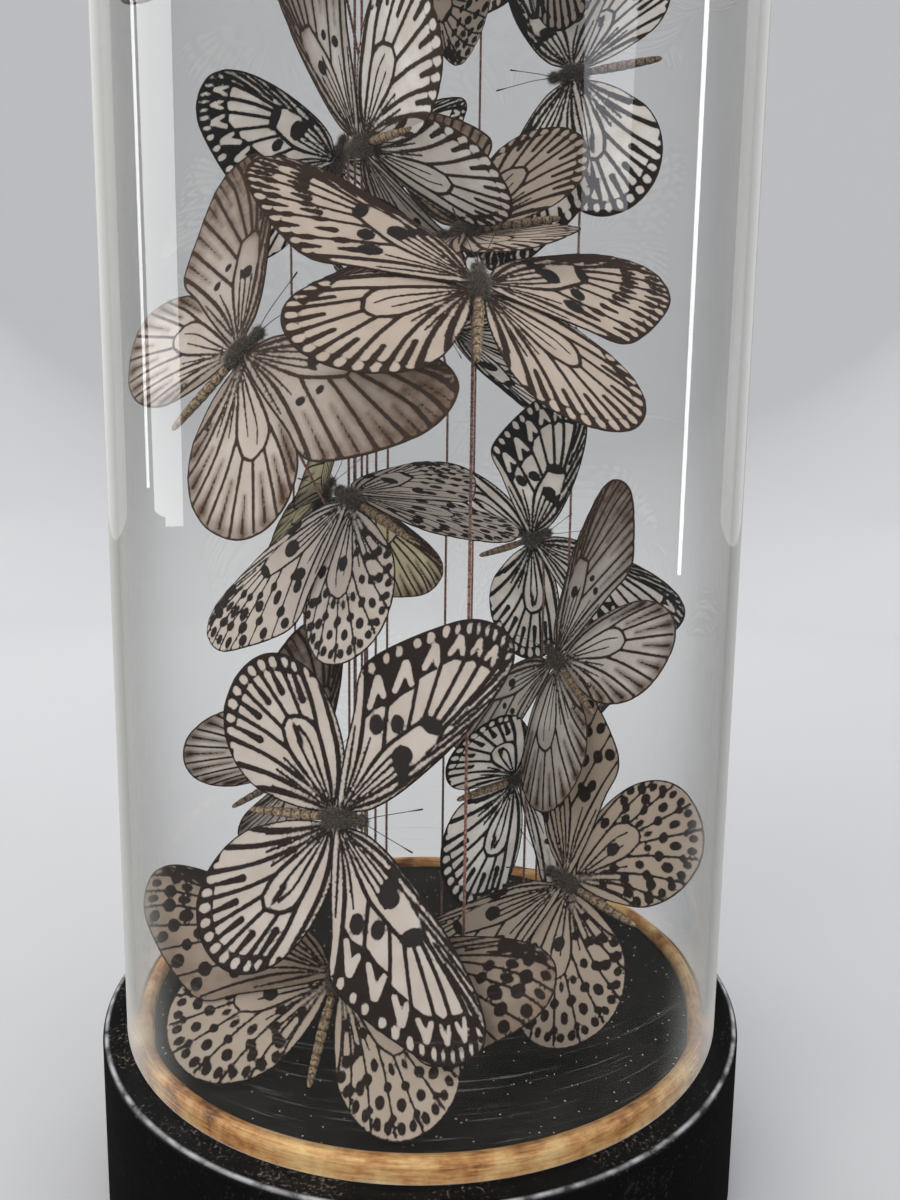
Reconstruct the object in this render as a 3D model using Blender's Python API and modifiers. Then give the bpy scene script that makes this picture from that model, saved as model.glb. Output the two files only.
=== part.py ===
"""Tree-nymph butterflies on tall wires under a glass dome, on a black turned plinth.

Metres, +Z up. The origin is the middle of the plinth's flat underside.
"""
import math
from collections import namedtuple

import bmesh
import bpy
from mathutils import Matrix, Vector

# ---------------------------------------------------------------- driving dimensions
MM = 0.001
GAP = 0.3 * MM                      # air left between two pieces that touch

PLINTH_RADIUS = 107.5 * MM
PLINTH_HEIGHT = 55.0 * MM
PLINTH_CHAMFER = 1.2 * MM

DOME_RADIUS = 100.0 * MM            # outside of the glass
GLASS_WALL = 3.0 * MM
DOME_STRAIGHT = 350.0 * MM          # straight wall, below the half-round crown

RING_WIDTH = 5.2 * MM
RING_HEIGHT = 6.0 * MM

FLOOR_THICKNESS = 3.0 * MM

WIRE_RADIUS = 0.6 * MM

THORAX_RADIUS = 2.8 * MM            # as the body profile has it, for the bead to meet
WING_THICKNESS = 0.5 * MM
HINDWING_SHARE = 0.74               # hindwing length over forewing length
WING_ROOT_OUT = 1.8 * MM            # wing root, sideways from the middle of the thorax
FORE_ROOT = (1.5 * MM, 0.6 * MM)    # forewing root, towards the head and up
HIND_ROOT = (-1.0 * MM, -0.5 * MM)  # hindwing root, towards the tail and down

ROUND_STEPS = 32                    # facets round the plinth, ring, floor and glass

# ---------------------------------------------------------------- worked out from those
PLINTH_TOP = PLINTH_HEIGHT
GLASS_FOOT = PLINTH_TOP + GAP
GLASS_INNER = DOME_RADIUS - GLASS_WALL
CROWN_BASE = PLINTH_TOP + DOME_STRAIGHT
RING_OUTER = GLASS_INNER - GAP
RING_INNER = RING_OUTER - RING_WIDTH
FLOOR_RADIUS = RING_INNER - GAP
FLOOR_TOP = PLINTH_TOP + GAP + FLOOR_THICKNESS

# Wing outlines in shares of the wing's own length: the root is at (0, 0), the tip lies
# along +X and the front edge is on the +Y side.
FOREWING = ((0.0, 0.0), (0.2, 0.105), (0.54, 0.128), (0.88, 0.08), (1.0, -0.03), (0.95, -0.17),
            (0.78, -0.275), (0.62, -0.34), (0.50, -0.37), (0.40, -0.33), (0.15, -0.12))
HINDWING = ((0.0, 0.0), (0.28, 0.26), (0.62, 0.37), (0.87, 0.30), (0.99, 0.10), (0.95, -0.12),
            (0.80, -0.28), (0.56, -0.34), (0.25, -0.23))

# Half-width of the body at each station: (place along the body, radius), head at +Y, in mm.
BODY_PROFILE = ((-30.0, 0.7), (-24.0, 1.5), (-12.0, 1.8), (-5.0, 1.3),
                (-1.0, 2.8), (3.5, 2.7), (6.0, 1.5), (8.0, 1.8))
BODY_NOSE = 10.0
BODY_TAIL = -31.5
BODY_SIDES = 6

# One row for each butterfly and its wire, from the floor up. Places are in mm from the middle
# of the plinth's top, and angles in degrees: thorax (x, y, height), turn (heading, pitch,
# roll), sweep (forewing, hindwing), lift (left, right wings), forewing length in mm, foot of
# the wire (x, y), the height at which the wire bends towards its butterfly, and the radius
# of the bead on its end.
Specimen = namedtuple("Specimen", "thorax turn sweep lift length foot bend bead")
SPECIMENS = (
    Specimen((-24, -55, 32), (-24, 53, -2), (13, -34), (12, 9), 68, (-22, -50), 25, 2.6),
    Specimen((48, -18, 46), (38, 8, -57), (32, -43), (17, 15), 70, (51, -14), 39, 4.2),
    Specimen((34, 30, 65), (-52, 3, 97), (40, -50), (25, 23), 66, (30, 32), 62, 2.6),
    Specimen((-45, 20, 72), (-73, 26, 124), (26, -35), (-3, -9), 66, (-47, 52), 55, 3.0),
    Specimen((-24, -56, 82), (-111, 2, 72), (44, -43), (6, 4), 71, (-21, -47), 74, 2.6),
    Specimen((46, 12, 114), (18, 22, -65), (34, -50), (-4, -3), 68, (37, 24), 82, 2.6),
    Specimen((40, 61, 153), (-133, 20, 113), (52, -35), (16, 13), 68, (45, 57), 141, 2.6),
    Specimen((-41, 41, 168), (-48, 54, 114), (8, -46), (26, 26), 66, (-49, 50), 154, 2.6),
    Specimen((-22, -24, 171), (40, 18, -54), (26, -42), (-11, -55), 68, (-19, -18), 163, 3.2),
    Specimen((-52, -43, 212), (-99, 45, 60), (33, -35), (-5, -3), 71, (-24, -2), 150, 2.6),
    Specimen((14, -61, 228), (0, 45, 17), (35, -39), (-7, -7), 71, (13, -54), 216, 2.6),
    Specimen((6, 25, 229), (10, -16, 35), (38, -42), (13, 12), 66, (6, 40), 214, 2.6),
    Specimen((12, -5, 254), (75, -6, -37), (28, -42), (16, 19), 66, (-25, 8), 194, 2.6),
    Specimen((-20, -10, 278), (35, 3, -122), (23, -62), (-18, -14), 70, (-15, 27), 264, 2.8),
    Specimen((-35, 42, 287), (-142, 51, -161), (20, -41), (-1, -1), 68, (-53, 52), 271, 2.6),
    Specimen((49, 32, 314), (70, -3, -66), (25, -22), (-10, -10), 70, (53, 44), 303, 2.6),
    Specimen((0, -5, 339), (74, -51, -12), (11, -24), (-12, -13), 66, (-28, 18), 299, 2.6),
    Specimen((-36, -13, 358), (59, 14, -66), (31, -42), (7, 8), 68, (-22, 23), 303, 2.6),
    Specimen((31, -46, 362), (-56, 6, 66), (33, -46), (1, 1), 68, (-24, 24), 341, 2.6),
    Specimen((40, 37, 382), (45, 37, -112), (34, -43), (14, 21), 66, (17, 79), 354, 2.6),
    Specimen((-16, 29, 383), (158, 11, 10), (34, -44), (10, 5), 66, (-19, 25), 370, 2.6),
    Specimen((7, -15, 436), (9, 7, 3), (32, -42), (-18, -17), 64, (-26, 21), 376, 2.6),
)


# ---------------------------------------------------------------- scene and materials
def clear_scene():
    """Take away whatever the opened file holds."""
    for thing in list(bpy.data.objects):
        bpy.data.objects.remove(thing, do_unlink=True)


def make_collection(name):
    """A new collection in the scene."""
    group = bpy.data.collections.new(name)
    bpy.context.scene.collection.children.link(group)
    return group


def make_material(name, colour, roughness, metallic=0.0, transmission=0.0):
    """A Principled material of one colour."""
    material = bpy.data.materials.new(name)
    material.use_nodes = True
    shader = material.node_tree.nodes["Principled BSDF"]
    shader.inputs["Base Color"].default_value = (*colour, 1.0)
    shader.inputs["Roughness"].default_value = roughness
    shader.inputs["Metallic"].default_value = metallic
    shader.inputs["Transmission Weight"].default_value = transmission
    material.diffuse_color = (*colour, 1.0)
    return material


def add_object(name, mesh, group, material=None):
    """A named object in a collection."""
    thing = bpy.data.objects.new(name, mesh)
    group.objects.link(thing)
    if material:
        mesh.materials.append(material)
    return thing


# ---------------------------------------------------------------- turned pieces
def turned(name, profile, group, material):
    """Turn an outline of (radius, height) points round the Z axis.

    The outline runs down the outer side. It is closed, or starts and ends on the axis.
    """
    mesh = bpy.data.meshes.new(name)
    count = len(profile)
    edges = [(i, i + 1) for i in range(count - 1)]
    on_axis = profile[0][0] == 0.0 and profile[-1][0] == 0.0
    if not on_axis:
        edges.append((count - 1, 0))
    mesh.from_pydata([(radius, 0.0, height) for radius, height in profile], edges, [])
    thing = add_object(name, mesh, group, material)
    screw = thing.modifiers.new("Turn", 'SCREW')
    screw.axis = 'Z'
    screw.angle = math.tau
    screw.steps = ROUND_STEPS
    screw.render_steps = ROUND_STEPS
    screw.use_merge_vertices = True
    screw.merge_threshold = 0.00001
    screw.use_smooth_shade = True
    return thing


def arc(centre_radius, centre_height, radius, start, end, count):
    """Points round part of a circle in the profile's plane, angles in degrees."""
    points = []
    for i in range(count + 1):
        angle = math.radians(start + (end - start) * i / count)
        points.append((centre_radius + radius * math.cos(angle),
                       centre_height + radius * math.sin(angle)))
    return points


def make_plinth(group, material):
    """Turned black plinth: a plain drum with a narrow chamfer at the top and the foot."""
    profile = [(0.0, PLINTH_TOP),
               (PLINTH_RADIUS - PLINTH_CHAMFER, PLINTH_TOP),
               (PLINTH_RADIUS, PLINTH_TOP - PLINTH_CHAMFER),
               (PLINTH_RADIUS, PLINTH_CHAMFER),
               (PLINTH_RADIUS - PLINTH_CHAMFER, 0.0),
               (0.0, 0.0)]
    return turned("plinth", profile, group, material)


def make_floor(group, material):
    """Black board that lies inside the gilt ring and holds the feet of the wires."""
    profile = [(0.0, FLOOR_TOP), (FLOOR_RADIUS, FLOOR_TOP),
               (FLOOR_RADIUS, PLINTH_TOP + GAP), (0.0, PLINTH_TOP + GAP)]
    return turned("floor_board", profile, group, material)


def make_ring(group, material):
    """Gilt ring just inside the foot of the glass, with a rounded top."""
    middle = (RING_INNER + RING_OUTER) / 2
    half = RING_WIDTH / 2
    foot = PLINTH_TOP + GAP
    shoulder = foot + RING_HEIGHT - half
    profile = [(middle + half, foot), (middle - half, foot)]
    profile += arc(middle, shoulder, half, 180.0, 0.0, 4)
    return turned("gilt_ring", profile, group, material)


def make_dome(group, material):
    """Glass dome, open at the foot: straight wall, half-round crown, even thickness."""
    outside = arc(0.0, CROWN_BASE, DOME_RADIUS, 90.0, 0.0, 7)
    outside[0] = (0.0, CROWN_BASE + DOME_RADIUS)
    inside = arc(0.0, CROWN_BASE, GLASS_INNER, 0.0, 90.0, 7)
    inside[-1] = (0.0, CROWN_BASE + GLASS_INNER)
    foot = [(DOME_RADIUS, GLASS_FOOT), (GLASS_INNER, GLASS_FOOT)]
    return turned("glass_dome", outside + foot + inside, group, material)


# ---------------------------------------------------------------- butterflies
def facing(specimen):
    """The matrix that sets a butterfly, head along its own +Y and back along +Z, in place."""
    x, y, height = specimen.thorax
    heading, pitch, roll = specimen.turn
    place = Vector((x * MM, y * MM, PLINTH_TOP + height * MM))
    turn = (Matrix.Rotation(math.radians(heading), 4, 'Z')
            @ Matrix.Rotation(math.radians(pitch), 4, 'X')
            @ Matrix.Rotation(math.radians(roll), 4, 'Y'))
    return Matrix.Translation(place) @ turn


def flat_wing(name, outline, length, group):
    """A thin plate cut to a wing's outline, as a mesh in the wing's own frame."""
    curve = bpy.data.curves.new(name, 'CURVE')
    curve.dimensions = '2D'
    curve.fill_mode = 'BOTH'
    curve.extrude = WING_THICKNESS / 2
    spline = curve.splines.new('POLY')
    spline.points.add(len(outline) - 1)
    for point, (along, across) in zip(spline.points, outline):
        point.co = (along * length, across * length, 0.0, 1.0)
    spline.use_cyclic_u = True
    source = bpy.data.objects.new(name, curve)
    group.objects.link(source)
    bpy.context.view_layer.update()
    evaluated = source.evaluated_get(bpy.context.evaluated_depsgraph_get())
    mesh = bpy.data.meshes.new_from_object(evaluated)
    bpy.data.objects.remove(source, do_unlink=True)
    bpy.data.curves.remove(curve)
    return mesh


def make_wings(specimen, group):
    """All four wings of one butterfly in one mesh, in the butterfly's own frame."""
    fore_sweep, hind_sweep = specimen.sweep
    fore_length = specimen.length * MM
    kinds = ((FOREWING, fore_length, fore_sweep, *FORE_ROOT),
             (HINDWING, fore_length * HINDWING_SHARE, hind_sweep, *HIND_ROOT))
    combined = bmesh.new()
    for outline, length, sweep, root_along, root_up in kinds:
        plate = flat_wing("wing_plate", outline, length, group)
        for side, lift in zip((-1.0, 1.0), specimen.lift):
            swept = (Matrix.Translation((WING_ROOT_OUT, root_along, root_up))
                     @ Matrix.Rotation(math.radians(-lift), 4, 'Y')
                     @ Matrix.Rotation(math.radians(sweep), 4, 'Z'))
            mirror = Matrix.Diagonal((side, 1.0, 1.0, 1.0))
            piece = plate.copy()
            piece.transform(mirror @ swept)
            if side < 0:
                piece.flip_normals()
            combined.from_mesh(piece)
            bpy.data.meshes.remove(piece)
        bpy.data.meshes.remove(plate)
    bmesh.ops.remove_doubles(combined, verts=combined.verts, dist=0.00001)
    mesh = bpy.data.meshes.new("wings")
    combined.to_mesh(mesh)
    combined.free()
    return mesh


def make_body():
    """Abdomen, thorax and head in one turned spindle along Y."""
    shape = bmesh.new()
    rings = []
    for along, radius in BODY_PROFILE:
        ring = []
        for i in range(BODY_SIDES):
            angle = math.tau * (i + 0.5) / BODY_SIDES
            ring.append(shape.verts.new((radius * MM * math.cos(angle), along * MM,
                                         radius * MM * math.sin(angle))))
        rings.append(ring)
    tail = shape.verts.new((0.0, BODY_TAIL * MM, 0.0))
    nose = shape.verts.new((0.0, BODY_NOSE * MM, 0.0))
    for i in range(BODY_SIDES):
        after = (i + 1) % BODY_SIDES
        shape.faces.new((tail, rings[0][after], rings[0][i]))
        shape.faces.new((nose, rings[-1][i], rings[-1][after]))
        for lower, upper in zip(rings, rings[1:]):
            shape.faces.new((lower[i], lower[after], upper[after], upper[i]))
    bmesh.ops.recalc_face_normals(shape, faces=shape.faces)
    mesh = bpy.data.meshes.new("body")
    shape.to_mesh(mesh)
    shape.free()
    return mesh


def make_butterfly(number, specimen, body, group, cutters, material):
    """One whole butterfly: the spindle body joined with its four wings."""
    place = facing(specimen)
    wings = add_object(f"wings_{number:02d}", make_wings(specimen, cutters), cutters)
    wings.matrix_world = place
    wings.hide_render = True
    wings.display_type = 'WIRE'
    thing = add_object(f"butterfly_{number:02d}", body.copy(), group, material)
    thing.matrix_world = place
    join = thing.modifiers.new("Wings", 'BOOLEAN')
    join.operation = 'UNION'
    join.solver = 'EXACT'
    join.use_self = True
    join.object = wings
    return thing


# ---------------------------------------------------------------- wires
def bead_centre(specimen):
    """The mounting bead touches the underside of the thorax."""
    below = -(specimen.bead * MM + THORAX_RADIUS + GAP)
    return facing(specimen) @ Vector((0.0, 0.0, below))


def make_wire(number, specimen, group, cutters, material):
    """An upright wire that bends once and ends in the bead that carries the butterfly."""
    foot_x, foot_y = specimen.foot
    bead = bead_centre(specimen)
    points = [Vector((foot_x * MM, foot_y * MM, FLOOR_TOP + GAP)),
              Vector((foot_x * MM, foot_y * MM, PLINTH_TOP + specimen.bend * MM)),
              bead]
    curve = bpy.data.curves.new("wire", 'CURVE')
    curve.dimensions = '3D'
    curve.bevel_depth = WIRE_RADIUS
    curve.bevel_resolution = 1
    curve.use_fill_caps = True
    spline = curve.splines.new('POLY')
    spline.points.add(len(points) - 1)
    for point, place in zip(spline.points, points):
        point.co = (*place, 1.0)
    source = bpy.data.objects.new("wire_path", curve)
    cutters.objects.link(source)
    bpy.context.view_layer.update()
    evaluated = source.evaluated_get(bpy.context.evaluated_depsgraph_get())
    mesh = bpy.data.meshes.new_from_object(evaluated)
    bpy.data.objects.remove(source, do_unlink=True)
    bpy.data.curves.remove(curve)
    weld = bmesh.new()
    weld.from_mesh(mesh)
    bmesh.ops.remove_doubles(weld, verts=weld.verts, dist=0.00001)
    bmesh.ops.recalc_face_normals(weld, faces=weld.faces)
    weld.to_mesh(mesh)
    weld.free()

    ball = bmesh.new()
    bmesh.ops.create_uvsphere(ball, u_segments=6, v_segments=4, radius=specimen.bead * MM)
    ball_mesh = bpy.data.meshes.new("bead")
    ball.to_mesh(ball_mesh)
    ball.free()
    cutter = add_object(f"bead_{number:02d}", ball_mesh, cutters)
    cutter.matrix_world = Matrix.Translation(bead)
    cutter.hide_render = True
    cutter.display_type = 'WIRE'
    thing = add_object(f"wire_{number:02d}", mesh, group, material)
    join = thing.modifiers.new("Bead", 'BOOLEAN')
    join.operation = 'UNION'
    join.solver = 'EXACT'
    join.object = cutter
    return thing


# ---------------------------------------------------------------- the whole thing
def main():
    """Build every piece."""
    clear_scene()
    pieces = make_collection("butterfly_dome")
    cutters = make_collection("cutters")

    black = make_material("plinth_black", (0.012, 0.012, 0.013), 0.45)
    board = make_material("floor_black", (0.015, 0.015, 0.015), 0.6)
    gilt = make_material("ring_gilt", (0.50, 0.26, 0.07), 0.5, metallic=0.6)
    glass = make_material("dome_glass", (0.95, 0.98, 0.97), 0.02, transmission=1.0)
    scales = make_material("wing_scales", (0.62, 0.56, 0.48), 0.7)
    covered = make_material("wire_covered", (0.13, 0.05, 0.035), 0.7)

    make_plinth(pieces, black)
    make_floor(pieces, board)
    make_ring(pieces, gilt)
    make_dome(pieces, glass)
    body = make_body()
    for number, specimen in enumerate(SPECIMENS, start=1):
        make_butterfly(number, specimen, body, pieces, cutters, scales)
        make_wire(number, specimen, pieces, cutters, covered)
    bpy.data.meshes.remove(body)


main()
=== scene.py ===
"""Looks of the butterfly dome: wings, bodies, wires, glass, ring, floor board and plinth.

Lengths are in metres unless a name or comment says mm. Every piece is built where the
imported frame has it, rides on the frame's one body and replaces the plain solid there.
"""

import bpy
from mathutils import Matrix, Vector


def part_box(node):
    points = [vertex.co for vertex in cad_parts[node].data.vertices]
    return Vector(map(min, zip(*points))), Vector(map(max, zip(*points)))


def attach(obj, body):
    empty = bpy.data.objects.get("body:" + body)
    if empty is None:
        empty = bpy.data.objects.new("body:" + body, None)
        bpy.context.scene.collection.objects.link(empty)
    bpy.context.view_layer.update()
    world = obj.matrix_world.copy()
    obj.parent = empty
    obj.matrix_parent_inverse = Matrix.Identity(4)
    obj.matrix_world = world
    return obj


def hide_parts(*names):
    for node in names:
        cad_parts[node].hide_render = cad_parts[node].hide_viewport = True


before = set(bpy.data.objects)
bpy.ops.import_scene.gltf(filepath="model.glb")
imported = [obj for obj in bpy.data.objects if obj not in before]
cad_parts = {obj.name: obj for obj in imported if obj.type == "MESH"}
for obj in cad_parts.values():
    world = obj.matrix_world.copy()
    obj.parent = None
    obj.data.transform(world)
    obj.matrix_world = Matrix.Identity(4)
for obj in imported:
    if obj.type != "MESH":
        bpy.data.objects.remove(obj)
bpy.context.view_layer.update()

import copy
import math
from collections import namedtuple

import bmesh
import bpy
import numpy as np
from mathutils import Matrix, Vector
from mathutils.geometry import delaunay_2d_cdt

MM = 0.001
BODY = "root"

# ---------------------------------------------------------------- sizes read from the frame
PLINTH_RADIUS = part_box("plinth")[1].x
PLINTH_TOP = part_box("plinth")[1].z
FLOOR_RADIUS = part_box("floor_board")[1].x
FLOOR_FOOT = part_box("floor_board")[0].z
FLOOR_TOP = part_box("floor_board")[1].z
RING_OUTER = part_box("gilt_ring")[1].x
RING_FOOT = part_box("gilt_ring")[0].z
RING_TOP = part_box("gilt_ring")[1].z
GLASS_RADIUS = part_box("glass_dome")[1].x
GLASS_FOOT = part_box("glass_dome")[0].z
GLASS_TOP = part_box("glass_dome")[1].z

# ---------------------------------------------------------------- driving sizes
GLASS_WALL = 3.0 * MM
CROWN_STEPS = 40                    # rings from the crown's foot to its pole
CROWN_END = 89.4                    # degrees up the crown of the last ring before the pole
RING_WIDTH = 5.2 * MM
SCRATCHED = 75.0 * MM               # height over the foot that the glass is scratched to
PLINTH_EDGE = 1.4 * MM              # radius of the plinth's worn edges
BOARD_EDGE = 0.5 * MM               # radius of the floor board's edge
TURN_STEPS = 192                    # facets round the turned pieces

WIRE_RADIUS = 0.6 * MM
WIRE_TWIST = 2.4 * MM               # length of one turn of the wire's covering
WIRE_RING = 0.7 * MM                # spacing of the rings of points along a wire
BEND_RADIUS = 7.0                   # how round a wire bends, mm

WING_ROOT_OUT = 1.8                 # mm, wing root from the middle of the thorax
FORE_ROOT = (1.5, 0.6)              # mm, forewing root towards the head and up
HIND_ROOT = (-1.0, -0.5)            # mm, hindwing root towards the head and up
THORAX_RADIUS = 2.8                 # mm
GAP = 0.3                           # mm between thorax and bead
HINDWING_SHARE = 0.74               # hindwing length over forewing length
PATTERN_LENGTH = 70.0               # mm, forewing length that the markings are drawn at
CROWDED_SPACING = 0.6               # mm between the points where its lines run close together
CROWDED_GAP = 1.9                   # mm between two lines that count as close together
MEMBRANE = 0.26                     # mm, thickness of a wing with its scales
CAMBER = 1.6                        # mm that a wing as broad as long would sink at its edges
RIB_HEIGHT, RIB_WIDTH = 0.16, 0.8   # mm that a rib stands up, and how far from it that fades
RIPPLE_HEIGHT, RIPPLE_RUN = 0.32, 5.5           # mm, waves of a dried margin; length over tau
RIPPLE_REACH = 9.0                  # mm in from the margin where the waves have died out
SHEET_SPACING = 0.85     # mm between the points of a wing sheet
GLASS_ROOM = 95.4                   # mm from the axis that feelers stay within
WING_SEED, BODY_SEED = 500, 900     # first random seeds of the butterflies' wings and bodies
PATTERN_STEP = 41.0                 # mm between the places in the noise of two butterflies' wings

ABDOMEN_RINGS = 8
# Half-width in mm of the body at stations along it, tail to head.
BODY_LINE = ((-29.0, 0.4), (-27.5, 0.95), (-23.0, 1.25), (-16.0, 1.5), (-10.0, 1.45), (-7.0, 1.25),
             (-4.4, 1.15), (-3.0, 2.0), (-0.5, 2.65), (2.5, 2.7), (5.0, 2.0), (6.3, 1.1),
             (7.4, 1.5), (8.6, 1.55), (9.6, 0.9), (10.0, 0.3))
WAIST = -4.2                        # mm, where the abdomen ends and the down of the thorax starts
BODY_SIDES = 18
EYE_RADIUS = 0.9                    # mm
EYE_PLACE = (1.15, 8.3, 0.25)       # mm aside, towards the head and up
THREAD_SIDES = 5                    # sides of a leg or feeler
# Down of the thorax: hairs per square mm, then mm.
DOWN = {"Density": 9.0, "Hair length": 1.5, "Hair radius": 0.07}
DUST = {"Specks per square metre": 24000.0, "Speck size": 0.50 * MM}

# ---------------------------------------------------------------- room, lamps and camera
ROOM_RADIUS = 1.7
ROOM_HEIGHT = 2.2
ROOM_STEPS = 96
ROOM_CURVE = 0.5                    # radius of the curve from the floor up into the wall
ROOM_DROP = 0.0002                  # how far the floor lies under the plinth
MIRRORED_ROOM = 0.12                # share of its brightness that the room has in reflections
WALL_FROM = 0.1                     # sine of the angle where the wall starts at each side
SKY, PAPER = "#E6E8EE", "#B4B5B6"
# Name, place, point it shines at, width and height, watts, colour, whether reflections show it.
LAMPS = (
    ("key", (-0.9, -1.1, 1.6), (0.0, 0.0, 0.26), (1.1, 1.1), 17.0, "#FFF9F3", True),
    ("fill", (1.2, -0.8, 1.2), (0.0, 0.0, 0.26), (0.5, 1.2), 5.0, "#F2F5FF", True),
    ("front_low", (0.2, -1.5, 0.25), (0.0, 0.0, 0.32), (1.6, 0.5), 11.0, "#FFF8F2", False),
    ("strip_left", (-1.40, 0.05, 0.75), (0.0, 0.0, 0.45), (0.42, 1.3), 6.5, "#FFFFFF", True),
    ("strip_left_thin", (-1.35, 0.32, 0.85), (0.0, 0.0, 0.45), (0.05, 1.5), 1.3, "#FFFFFF", True),
    ("strip_right", (1.45, 0.10, 0.75), (0.0, 0.0, 0.35), (0.06, 1.5), 2.4, "#FFFFFF", True),
    ("window_left", (-1.05, 1.05, 0.95), (0.0, 0.0, 0.95), (0.8, 1.9), 2.6, "#FFFFFF", True),
    ("window_right", (1.05, 1.05, 0.95), (0.0, 0.0, 0.95), (0.8, 1.9), 2.6, "#FFFFFF", True),
    ("back", (0.0, 1.3, 0.9), (0.0, 0.0, 0.3), (1.8, 0.8), 12.0, "#FFFFFF", False),
)
CAMERA_PLACE = (0.0078, -0.3236, 0.2398)
CAMERA_DOWN, CAMERA_ROLL = 8.4, 0.745           # degrees
LENS, SENSOR = 29.25, 36.0          # mm
NEAREST_SEEN = 0.02                 # how close to the camera something still shows

# ---------------------------------------------------------------- the butterflies
# The same rows as the frame was built from: thorax (x, y, height over the plinth) in mm,
# turn (heading, pitch, roll), sweep (forewing, hindwing) and lift (left, right) in degrees,
# forewing length, foot and bend height of the wire and radius of its bead in mm. Then the
# markings of the forewing and hindwing, and the colours of the wing ground and its marks.
Specimen = namedtuple("Specimen", "thorax turn sweep lift length foot bend bead fore hind ground mark")
WARM, BEIGE, GREY, WHITE, CREAM = "#DAD1CB", "#D6C8BC", "#C4B6A8", "#F0EDEA", "#DFDBBE"
SEPIA, RUSSET, UMBER, COAL = "#271812", "#3B271C", "#432F22", "#1E1816"
SPECIMENS = (
    Specimen((-24, -55, 32), (-24, 53, -2), (13, -34), (12, 9), 68, (-22, -50), 25, 2.6,
             "dusky", "spotted", GREY, SEPIA),
    Specimen((48, -18, 46), (38, 8, -57), (32, -43), (17, 15), 70, (51, -14), 39, 4.2,
             "spotted", "spotted", GREY, SEPIA),
    Specimen((34, 30, 65), (-52, 3, 97), (40, -50), (25, 23), 66, (30, 32), 62, 2.6,
             "smoky", "bold", WHITE, COAL),
    Specimen((-45, 20, 72), (-73, 26, 124), (26, -35), (-3, -9), 66, (-47, 52), 55, 3.0,
             "smoky", "faint", WHITE, UMBER),
    Specimen((-24, -56, 82), (-111, 2, 72), (44, -43), (6, 4), 71, (-21, -47), 74, 2.6,
             "bold", "bold", WARM, SEPIA),
    Specimen((46, 12, 114), (18, 22, -65), (34, -50), (-4, -3), 68, (37, 24), 82, 2.6,
             "smoky", "faint", WHITE, UMBER),
    Specimen((40, 61, 153), (-133, 20, 113), (52, -35), (16, 13), 68, (45, 57), 141, 2.6,
             "bold", "bold", WHITE, COAL),
    Specimen((-41, 41, 168), (-48, 54, 114), (8, -46), (26, 26), 66, (-49, 50), 154, 2.6,
             "faint", "faint", CREAM, UMBER),
    Specimen((-22, -24, 171), (40, 18, -54), (26, -42), (-11, -55), 68, (-19, -18), 163, 3.2,
             "spotted", "spotted", WARM, SEPIA),
    Specimen((-52, -43, 212), (-99, 45, 60), (33, -35), (-5, -3), 71, (-24, -2), 150, 2.6,
             "smoky", "faint", WARM, UMBER),
    Specimen((14, -61, 228), (0, 45, 17), (35, -39), (-7, -7), 71, (13, -54), 216, 2.6,
             "blotched", "forked", BEIGE, RUSSET),
    Specimen((6, 25, 229), (10, -16, 35), (38, -42), (13, 12), 66, (6, 40), 214, 2.6,
             "blotched", "bold", WHITE, COAL),
    Specimen((12, -5, 254), (75, -6, -37), (28, -42), (16, 19), 66, (-25, 8), 194, 2.6,
             "smoky", "forked", BEIGE, UMBER),
    Specimen((-20, -10, 278), (35, 3, -122), (23, -62), (-18, -14), 70, (-15, 27), 264, 2.8,
             "smoky", "forked", WHITE, UMBER),
    Specimen((-35, 42, 287), (-142, 51, -161), (20, -41), (-1, -1), 68, (-53, 52), 271, 2.6,
             "bold", "bold", WHITE, COAL),
    Specimen((49, 32, 314), (70, -3, -66), (25, -22), (-10, -10), 70, (53, 44), 303, 2.6,
             "blotched", "bold", WHITE, SEPIA),
    Specimen((0, -5, 339), (74, -51, -12), (11, -24), (-12, -13), 66, (-28, 18), 299, 2.6,
             "spotted", "dusky", GREY, SEPIA),
    Specimen((-36, -13, 358), (59, 14, -66), (31, -42), (7, 8), 68, (-22, 23), 303, 2.6,
             "bold", "bold", WARM, SEPIA),
    Specimen((31, -46, 362), (-56, 6, 66), (33, -46), (1, 1), 68, (-24, 24), 341, 2.6,
             "smoky", "faint", WARM, UMBER),
    Specimen((40, 37, 382), (45, 37, -112), (34, -43), (14, 21), 66, (17, 79), 354, 2.6,
             "blotched", "forked", BEIGE, SEPIA),
    Specimen((-16, 29, 383), (158, 11, 10), (34, -44), (10, 5), 66, (-19, 25), 370, 2.6,
             "spotted", "spotted", GREY, SEPIA),
    Specimen((7, -15, 436), (9, 7, 3), (32, -42), (-18, -17), 64, (-26, 21), 376, 2.6,
             "bold", "bold", WHITE, COAL),
)

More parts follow.
